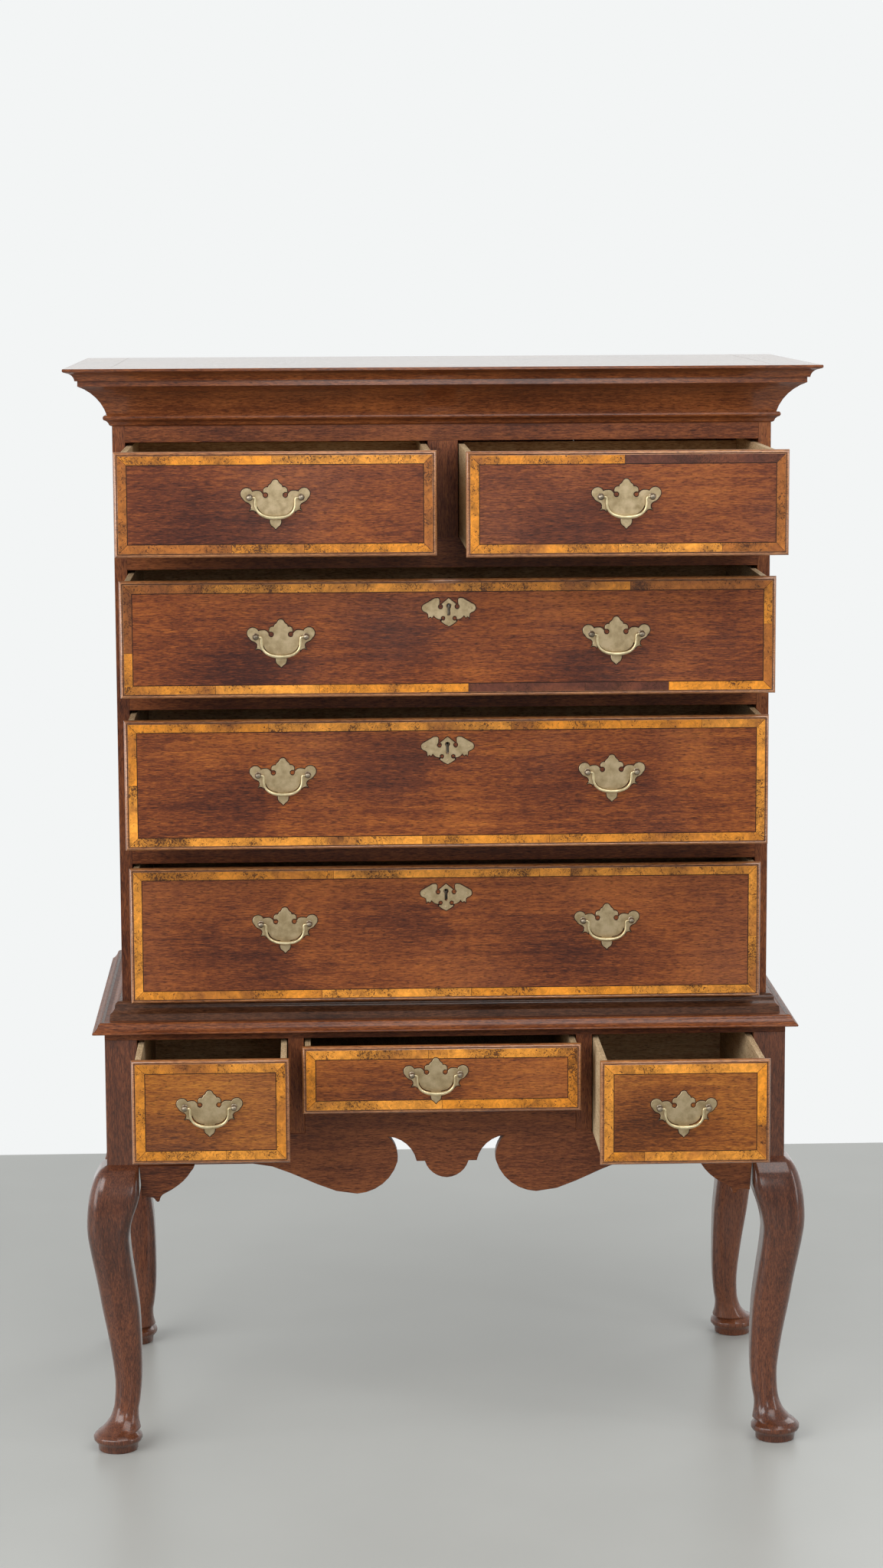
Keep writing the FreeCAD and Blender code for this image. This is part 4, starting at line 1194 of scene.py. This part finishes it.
ESCUTCHEON = (
    (0, 11), (9.5, 3.2), (10.3, 2.5), (11.7, -4.3, 13.25, 2.23), (13, 7.5),
    (13.8, 10.2, 16.5, 11), (19.5, 10.8), (33, 3), (37.1, -2.8, 31.6, -8.6), (28.9, -10.6),
    (28, -16.5), (25.8, -14.6), (23.5, -16.5), (20.8, -13), (17, -17, 12.3, -18.5),
    (10.9, -18.06), (5.8, -14.8, 9.55, -19.68), (10.3, -21.8), (5.4, -25.4), (0, -28.3),
)


@dataclass
class Brasses:
    """The fixed metal of one drawer: plates, ball-headed posts and their nuts and, where it
    locks, the keyhole plate, the lock's case and its pin."""

    plate: float = 1.7
    filed: float = 0.45
    spacing: float = 69.5
    pivot_out: float = 10.0
    ball: float = 4.5
    nut_radius: float = 5.4
    nut_height: float = 3.0
    nut_edge: float = 0.6
    nut_taper: float = 0.88
    shank: float = 4.2
    board: float = 21.0
    lock_size: tuple[float, float, float] = (62.0, 58.0, 11.0)
    lock_sheet: float = 1.6
    lock_edge: float = 0.3
    bolt_width: float = 24.3
    below_keyhole: float = 15.0
    keyhole_wider: float = 1.05
    # a dark rim round each plate: old wax, and painted shade at the plate's edge
    wax_and_shade_rim_out: float = 1.0
    wax_and_shade_rim_behind: float = 0.12
    wax_and_shade_rim_thick: float = 0.4
    wax_and_shade_rim_edge: float = 0.1

    def build(self, name: str, handles: Sequence[Point], keyhole: float | None,
              pin: Metal) -> None:
        """Make one drawer's fixed metal.

        Args:
            name: The drawer's name.
            handles: The middle of each handle, across and up.
            keyhole: The height of the keyhole's round part, if the drawer locks.
            pin: The finish of the lock's pin.
        """
        face = box_mm(f"drawer_{name}_front")[0].y
        piece = Piece()
        for x, z in handles:
            self.sheet(piece, PLATE, [], Vector((x, face, z)))
            for side in (-1, 1):
                self.post(piece, Vector((x + side * self.spacing / 2, face, z)))
        metals = [PLATE_BRASS, WORN_STEEL, OLD_WAX_AND_SHADE]
        if keyhole is not None:
            hole = [(x * self.keyhole_wider, z) for x, z in drawn(mirrored(KEYHOLE))[:-1]]
            self.sheet(piece, ESCUTCHEON, [hole], Vector((0, face, keyhole)))
            self.lock(piece, name, face, keyhole)
            metals.append(pin)
        piece.settle(f"drawer_{name}_brasses", metals, f"drawer_{name}", "brass_plate",
                     f"drawer_{name}_fittings", sharp=35)

    def sheet(self, piece: Piece, half: Outline, holes: list[list[Point]], place: Vector) -> None:
        """Lay one plate, and round it a dark rim of old wax: dirt, and painted shade at the plate's
        edge.

        Args:
            piece: What gets the faces.
            half: The right half of the plate's outline, clockwise.
            holes: The outlines cut through it.
            place: Its middle, on the drawer's face.
        """
        outline = drawn(mirrored(half))[:-1]
        piece.add(slab([outline, *holes], self.plate, self.filed), place)
        # the dark rim paints the shade at the plate's edge, with the dirt that lies there
        wax_and_shade_rim = shrunk(outline, self.wax_and_shade_rim_out)
        piece.add(slab([wax_and_shade_rim, *holes], self.wax_and_shade_rim_thick, self.wax_and_shade_rim_edge),
                  place + Vector((0, self.wax_and_shade_rim_behind, 0)), 2)

    def post(self, piece: Piece, place: Vector) -> None:
        """Make one post: a collar, a neck and a ball in front of the plate, a square shank
        through the board and a nut behind it.

        Args:
            piece: What gets the faces.
            place: The post's place on the drawer's face.
        """
        collar = [(self.plate + forward, radius)
                  for forward, radius in ((0, 4.6), (0.9, 4.3), (1.4, 3.1), (2.6, 2.2))]
        ball = [(self.pivot_out + self.ball * math.sin(angle), self.ball * math.cos(angle))
                for angle in map(math.radians, range(-60, 81, 14))]
        piece.turn([*collar, *ball, (self.pivot_out + self.ball, 0.6)], place, 1)
        nut_end = -self.board - self.nut_height
        corner = self.shank / math.sqrt(2)
        piece.turn([(self.plate, corner), (nut_end - 1, corner)], place, 1, sides=4, start=225)
        piece.turn([(-self.board, self.nut_radius), (nut_end + self.nut_edge, self.nut_radius),
                    (nut_end, self.nut_taper * self.nut_radius)],
                   place, 1, sides=8, start=22.35)

    def lock(self, piece: Piece, name: str, face: float, keyhole: float) -> None:
        """Let the lock's case into the back of the front: a back sheet, the walls round its bolt
        and the fixed pin that a key's hollow shank goes over.

        Args:
            piece: What gets the faces.
            name: The drawer's name.
            face: The front's face.
            keyhole: The height of the keyhole's round part.
        """
        width, height, depth = self.lock_size
        top = box_mm(f"lock_bolt_{name}")[1].z
        low = top - height
        half, inner = width / 2, self.bolt_width / 2
        back = face + self.board
        inside = (0, back - self.lock_sheet, 0)
        piece.add(slab([rectangle(-half, low, half, top)], self.lock_sheet, self.lock_edge),
                  (0, back, 0), 1)
        for wall in (rectangle(-half, low, -inner, top), rectangle(inner, low, half, top),
                     rectangle(-inner, low, inner, keyhole - self.below_keyhole)):
            piece.add(slab([wall], depth - self.lock_sheet, self.lock_edge), inside, 1)
        piece.turn([(0, 1.5), (10.6, 1.5), (11.4, 1.1), (11.6, 0.4)],
                   Vector(inside) + Vector((0, 0, keyhole)), 3, sides=14)


class Growth:
    """A geometry tree, which ends in real geometry with its finish."""

    def __init__(self, name: str, sizes: dict[str, float]) -> None:
        """Start the tree with its inputs: Geometry, the sizes and Finish.

        Args:
            name: The tree's name.
            sizes: The sizes by name, with their defaults. A whole number is a count.
        """
        self.tree = bpy.data.node_groups.new(name, "GeometryNodeTree")
        self.add = partial(add_node, self.tree)
        inputs = {"Geometry": "Geometry", "Finish": "Material"}
        inputs |= {size: "Int" if isinstance(sizes[size], int) else "Float" for size in sizes}
        for socket, kind in inputs.items():
            made = self.tree.interface.new_socket(socket, in_out="INPUT",
                                                  socket_type="NodeSocket" + kind)
            if socket in sizes:
                made.default_value = sizes[socket]
        self.tree.interface.new_socket("Geometry", in_out="OUTPUT",
                                       socket_type="NodeSocketGeometry")
        self.given = self.add("NodeGroupInput").outputs

    def end(self, geometry: bpy.types.Node) -> None:
        """Make the geometry real, give it its finish and put it out."""
        real = self.add("GeometryNodeRealizeInstances", {"Geometry": geometry})
        dressed = self.add("GeometryNodeSetMaterial", {
            "Geometry": real, "Material": self.given["Finish"]})
        self.add("NodeGroupOutput", {"Geometry": dressed})

    def grown(self, data: bpy.types.ID, values: dict[str, Any]) -> bpy.types.Mesh:
        """Run the tree and keep the result as a plain mesh.

        Args:
            data: The curve or the points that the tree starts from.
            values: The values of its named inputs.

        Returns:
            The mesh, in the data's units.
        """
        holder = linked(data.name, data)
        modifier = holder.modifiers.new("grown", "NODES")
        modifier.node_group = self.tree
        for socket in self.tree.interface.items_tree:
            if socket.in_out == "INPUT" and socket.name in values:
                modifier[socket.identifier] = values[socket.name]
        mesh = evaluated(holder)
        bpy.data.objects.remove(holder)
        return mesh


def drawn_rod() -> Growth:
    """Build the tree that draws a rod along a curve, thin at its arms and thick at its grip.

    Returns:
        A tree with the sizes Arm, Grip, Spread and Sides.
    """
    rod = Growth("drawn_rod", {"Arm": 1.4, "Grip": 2.6, "Spread": 0.62, "Sides": 16})
    add, given = rod.add, rod.given
    along = add("GeometryNodeSplineParameter").outputs["Factor"]
    # one at both ends and nought in the middle
    fold = add("ShaderNodeMath", {0: along, 1: 2.0, 2: -1.0}, operation="MULTIPLY_ADD")
    off = add("ShaderNodeMath", {0: fold}, operation="ABSOLUTE")
    swell = add("ShaderNodeMapRange", {
        "Value": off, "From Min": given["Spread"], "From Max": 0.0, "To Min": given["Arm"],
        "To Max": given["Grip"]}, interpolation_type="SMOOTHSTEP")
    sized = add("GeometryNodeSetCurveRadius", {"Curve": given["Geometry"], "Radius": swell})
    ring = add("GeometryNodeCurvePrimitiveCircle", {"Resolution": given["Sides"], "Radius": 1.0})
    skinned = add("GeometryNodeCurveToMesh", {
        "Curve": sized, "Profile Curve": ring, "Fill Caps": True})
    if "Scale" in skinned.inputs:
        radius = add("GeometryNodeInputRadius").outputs["Radius"]
        rod.tree.links.new(radius, skinned.inputs["Scale"])
    rod.end(skinned)
    return rod


def domed_heads() -> Growth:
    """Build the tree that sets a low domed head, facing forwards and back, on each point.

    Returns:
        A tree with the sizes Radius, Height and Sides.
    """
    heads = Growth("domed_heads", {"Radius": 1.3, "Height": 0.7, "Sides": 12})
    add, given = heads.add, heads.given
    ball = add("GeometryNodeMeshUVSphere", {"Segments": given["Sides"], "Rings": 6, "Radius": 1.0})
    size = add("ShaderNodeCombineXYZ", {
        "X": given["Radius"], "Y": given["Height"], "Z": given["Radius"]})
    heads.end(add("GeometryNodeInstanceOnPoints", {
        "Points": given["Geometry"], "Instance": ball, "Scale": size}))
    return heads


@dataclass
class Bail:
    """One swinging bail, cast and filed: its ends enter the posts' balls, its arms drop and its
    grip swells in the middle."""

    # half of its line: across and down from the middle between the posts
    line: tuple[Point, ...] = ((34.2, 0), (31.2, 0), (28.4, 0.1), (27.2, 1.6), (27, 4), (27, 10),
                               (25.6, 16.6), (20.6, 22.6), (12.6, 26.1), (5, 27.2), (0, 27.3))
    arm: float = 1.75
    grip: float = 2.9

    def build(self, node: str, rod: Growth) -> None:
        """Make one bail where its CAD node is.

        Args:
            node: The CAD node, whose name is its body's as well.
            rod: The tree that draws the rod.
        """
        joint = next(row for row in frame["joints"] if row["child"] == node)
        curve = bpy.data.curves.new(node + "_line", "CURVE")
        curve.dimensions = "3D"
        curve.resolution_u = 6
        spline = curve.splines.new("NURBS")
        path = [*self.line, *((-across, down) for across, down in reversed(self.line[:-1]))]
        spline.points.add(len(path) - 1)
        for point, (across, down) in zip(spline.points, path):
            point.co = (across, 0, -down, 1)
        spline.order_u = 3
        spline.use_endpoint_u = True
        mesh = rod.grown(curve, {"Arm": self.arm, "Grip": self.grip,
                                 "Finish": BAIL_BRASS.material()})
        piece = Piece()
        piece.add(mesh, Vector(joint["pos_m"]) / MM)
        bmesh.ops.recalc_face_normals(piece.shape, faces=piece.shape.faces)
        piece.settle(node + "_rod", [BAIL_BRASS], node, "brass_bail", node, sharp=50)


@dataclass
class Heads:
    """Domed heads of pins and nails, set on points."""

    radius: float
    finish: Metal
    slot: str

    def build(self, name: str, body: str, points: list[Vector], heads: Growth) -> None:
        """Set the heads.

        Args:
            name: The new piece's name.
            body: The body that it rides on.
            points: The places of the heads, in millimetres.
            heads: The tree that makes the heads.
        """
        mesh = bpy.data.meshes.new(name + "_points")
        mesh.from_pydata(points, [], [])
        piece = Piece()
        piece.add(heads.grown(mesh, {"Radius": self.radius, "Height": self.radius / 2,
                                     "Finish": self.finish.material()}))
        piece.settle(name, [self.finish], body, self.slot, sharp=50)


# The studio -----------------------------------------------------------------------------------
# each lamp's name, where it hangs, the point that it faces, its width and height, and its watts
LAMPS = (
    ("window", (-3.0, -3.4, 3.0), (0, 0, 0.9), (2.6, 2.2), 98),
    ("ceiling", (1.2, -2.6, 3.6), (0, 0, 0.8), (3.0, 2.2), 62),
    ("doorway", (0.3, -5.3, 1.9), (0, 0, 0.9), (1.2, 1.0), 20),
    ("side window", (-3.4, -1.3, 1.5), (0, -0.2, 1.0), (1.4, 2.2), 38),
    ("passage", (3.3, -1.5, 1.3), (0, -0.3, 1.0), (0.5, 2.2), 15),
    ("behind", (2.2, 3.0, 2.8), (0, 0.2, 0.9), (2.2, 2.0), 32),
)


@dataclass
class Studio:
    """A pale floor, soft lights and the camera, in metres and radians."""

    eye: tuple[float, float, float] = (-0.19383, -5.14566, 1.73339)
    yaw: float = 0.0376573
    pitch: float = 0.1474388
    roll: float = -0.0047750
    lens: float = 80.86
    floor_back: float = 1.62
    floor_front: float = -9.0
    floor_side: float = 9.0
    wall: str = "#F3F5F5"
    fill: float = 0.6
    room: float = 0.34
    ceiling: float = 0.45

    def camera(self) -> None:
        """Place the camera at a standing viewer's eye, turned a little down and to the right."""
        data = bpy.data.cameras.new("camera")
        data.lens = self.lens
        data.sensor_width = 36.0
        data.clip_start, data.clip_end = 0.05, 60.0
        ahead = Vector((math.sin(self.yaw) * math.cos(self.pitch),
                        math.cos(self.yaw) * math.cos(self.pitch), -math.sin(self.pitch)))
        across = Vector((math.cos(self.yaw), -math.sin(self.yaw), 0))
        above = across.cross(ahead)
        level, lean = math.cos(self.roll), math.sin(self.roll)
        turn = Matrix((across * level + above * lean, above * level - across * lean, -ahead))
        made = linked("camera", data)
        made.matrix_world = Matrix.Translation(self.eye) @ turn.transposed().to_4x4()
        bpy.context.scene.camera = made

    def floor(self) -> None:
        """Lay a polished pale floor that ends behind the object."""
        corners = rectangle(-self.floor_side, self.floor_front, self.floor_side, self.floor_back)
        mesh = bpy.data.meshes.new("floor")
        mesh.from_pydata([(x, y, 0) for x, y in corners], [], [(0, 1, 2, 3)])
        mesh.materials.append(Screed("polished_screed").material())
        linked("floor", mesh)

    def lamps(self) -> None:
        """Hang the soft panels."""
        for name, place, aim, (width, height), watts in LAMPS:
            data = bpy.data.lights.new(name, "AREA")
            data.shape = "RECTANGLE"
            data.size = width
            data.size_y = height
            data.energy = watts
            made = linked(name, data)
            made.location = place
            toward = Vector(aim) - Vector(place)
            made.rotation_euler = toward.to_track_quat("-Z", "Y").to_euler()

    def world(self) -> None:
        """Fill the room with even light; the camera and glossy surfaces see a pale wall."""
        world = bpy.data.worlds.new("room")
        world.use_nodes = True
        world.node_tree.nodes.clear()
        add = partial(add_node, world.node_tree)
        path = add("ShaderNodeLightPath").outputs
        mirror = add("ShaderNodeMath", {
            0: path["Is Glossy Ray"], 1: path["Is Transmission Ray"]}, operation="MAXIMUM")
        toward = add("ShaderNodeTexCoord").outputs["Generated"]
        apart = add("ShaderNodeSeparateXYZ", {0: toward}).outputs
        # a pale wall stands behind, and the room in front of it is dimmer
        room = add("ShaderNodeMapRange", {
            "Value": apart["Y"], "From Min": -0.6, "From Max": 0.1, "To Min": self.room,
            "To Max": 1.0})
        # the ceiling is dimmer than the walls
        above = add("ShaderNodeMapRange", {
            "Value": apart["Z"], "From Min": 0.25, "From Max": 0.8, "To Min": 1.0,
            "To Max": self.ceiling})
        lit = add("ShaderNodeMath", {0: room, 1: above}, operation="MULTIPLY")
        # a Mix node's numbers go in at 2 and 3
        shown = add("ShaderNodeMix", {0: mirror, 2: self.fill, 3: lit})
        strength = add("ShaderNodeMix", {0: path["Is Camera Ray"], 2: shown, 3: 1.0})
        wall = add("ShaderNodeBackground", {"Color": linear(self.wall), "Strength": strength})
        add("ShaderNodeOutputWorld", {"Surface": wall})
        bpy.context.scene.world = world

    def build(self) -> None:
        """Set up the whole studio."""
        self.camera()
        self.floor()
        self.world()
        self.lamps()
        scene = bpy.context.scene
        scene.view_settings.view_transform = "Standard"
        scene.cycles.max_bounces = 8


# The whole ------------------------------------------------------------------------------------
@dataclass
class Drawer:
    """One drawer's front, brasses and keyhole pins."""

    name: str
    veneering: Veneering
    seed: int
    keyhole_down: float = 37.5
    narrow_band: float = 12.0
    wide_band: float = 13.5
    pin_radius: float = 1.35
    pins: tuple[Point, ...] = ((-31, -3), (31, -3), (0, -22.6))

    def build(self, heads: Growth) -> None:
        """Make the pieces that the drawer carries, apart from its bails.

        Args:
            heads: The tree that makes domed heads.
        """
        low, high = box_mm(f"drawer_{self.name}_front")
        # each handle hangs at its bail's hinge
        handles = tuple((row["pos_m"][0] / MM, row["pos_m"][2] / MM) for row in frame["joints"]
                        if row["type"] == "hinge" and row["parent"] == f"drawer_{self.name}")
        locked = self.name in LOCKED
        keyhole = high.z - self.keyhole_down if locked else None
        # each field's haze is painted sheen
        field = Wood(f"waxed_oak_field_{self.name}", *self.veneering.tones, seed=self.seed,
                     relief_mm=0.08, contrast=0.5, painted_sheen=0.12, lift=self.veneering.lift,
                     smudges=(*handles, (0.0, keyhole)) if locked else handles,
                     ends=0.1 if locked else 0.0)
        band = self.wide_band if self.name.startswith("stand") else self.narrow_band
        DrawerFront(self.name, self.veneering, field, keyhole, band).build()
        # one lock's pin is rubbed bright by its key
        brasses = Brasses()
        brasses.build(self.name, handles, keyhole,
                      RUBBED_STEEL if self.name == "second" else BLACK_STEEL)
        if keyhole is not None:
            points = [Vector((x, low.y - brasses.plate, keyhole + z)) for x, z in self.pins]
            Heads(self.pin_radius, PLATE_BRASS, "brass_plate").build(
                f"drawer_{self.name}_pins", f"drawer_{self.name}", points, heads)


@dataclass
class BackNails:
    """The nails of the back boards, in four rows."""

    rows: tuple[float, ...] = (670.0, 1010.0, 1300.0, 1550.0)
    margin: float = 18.0
    spaces: int = 8
    radius: float = 2.4

    def build(self, heads: Growth) -> None:
        """Drive the nails.

        Args:
            heads: The tree that makes domed heads.
        """
        low, high = box_mm("case_back_boards")
        step = (high.x - low.x - 2 * self.margin) / self.spaces
        points = [Vector((low.x + self.margin + k * step, high.y, z))
                  for k in range(self.spaces + 1) for z in self.rows]
        Heads(self.radius, WORN_STEEL, "steel").build("case_back_nails", "case", points, heads)


def main() -> None:
    """Build the studio and every piece of the highboy."""
    logging.basicConfig(level=logging.INFO, format="%(name)s: %(message)s")
    Studio().build()
    Boards().build()
    Apron().build()
    KneeBrackets().build()
    Moulding("cornice_moulding", CORNICE, MOULDED_OAK, TOP_OAK).build()
    Moulding("base_moulding", BASE, BASE_OAK, SHADED_LEDGE_OAK).build()
    Moulding("waist_moulding", WAIST, MOULDED_OAK, SHADED_LEDGE_OAK, "stand_wood").build()
    for number, corner in enumerate(("front_left", "front_right", "rear_left", "rear_right")):
        CabrioleLeg().build("leg_" + corner, 0.15 + 0.2 * number)
    heads = domed_heads()
    for seed, (name, veneering) in enumerate(FRONTS.items(), start=20):
        Drawer(name, veneering, seed).build(heads)
    rod = drawn_rod()
    for body in frame["bodies"]:
        if body.startswith("bail_"):
            Bail().build(body, rod)
    BackNails().build(heads)
    for name in LOCKED:
        bolt = frame["nodes"][f"lock_bolt_{name}"]
        bolt.data.materials.clear()
        bolt.data.materials.append(WORN_STEEL.material())


if __name__ == "__main__":
    main()
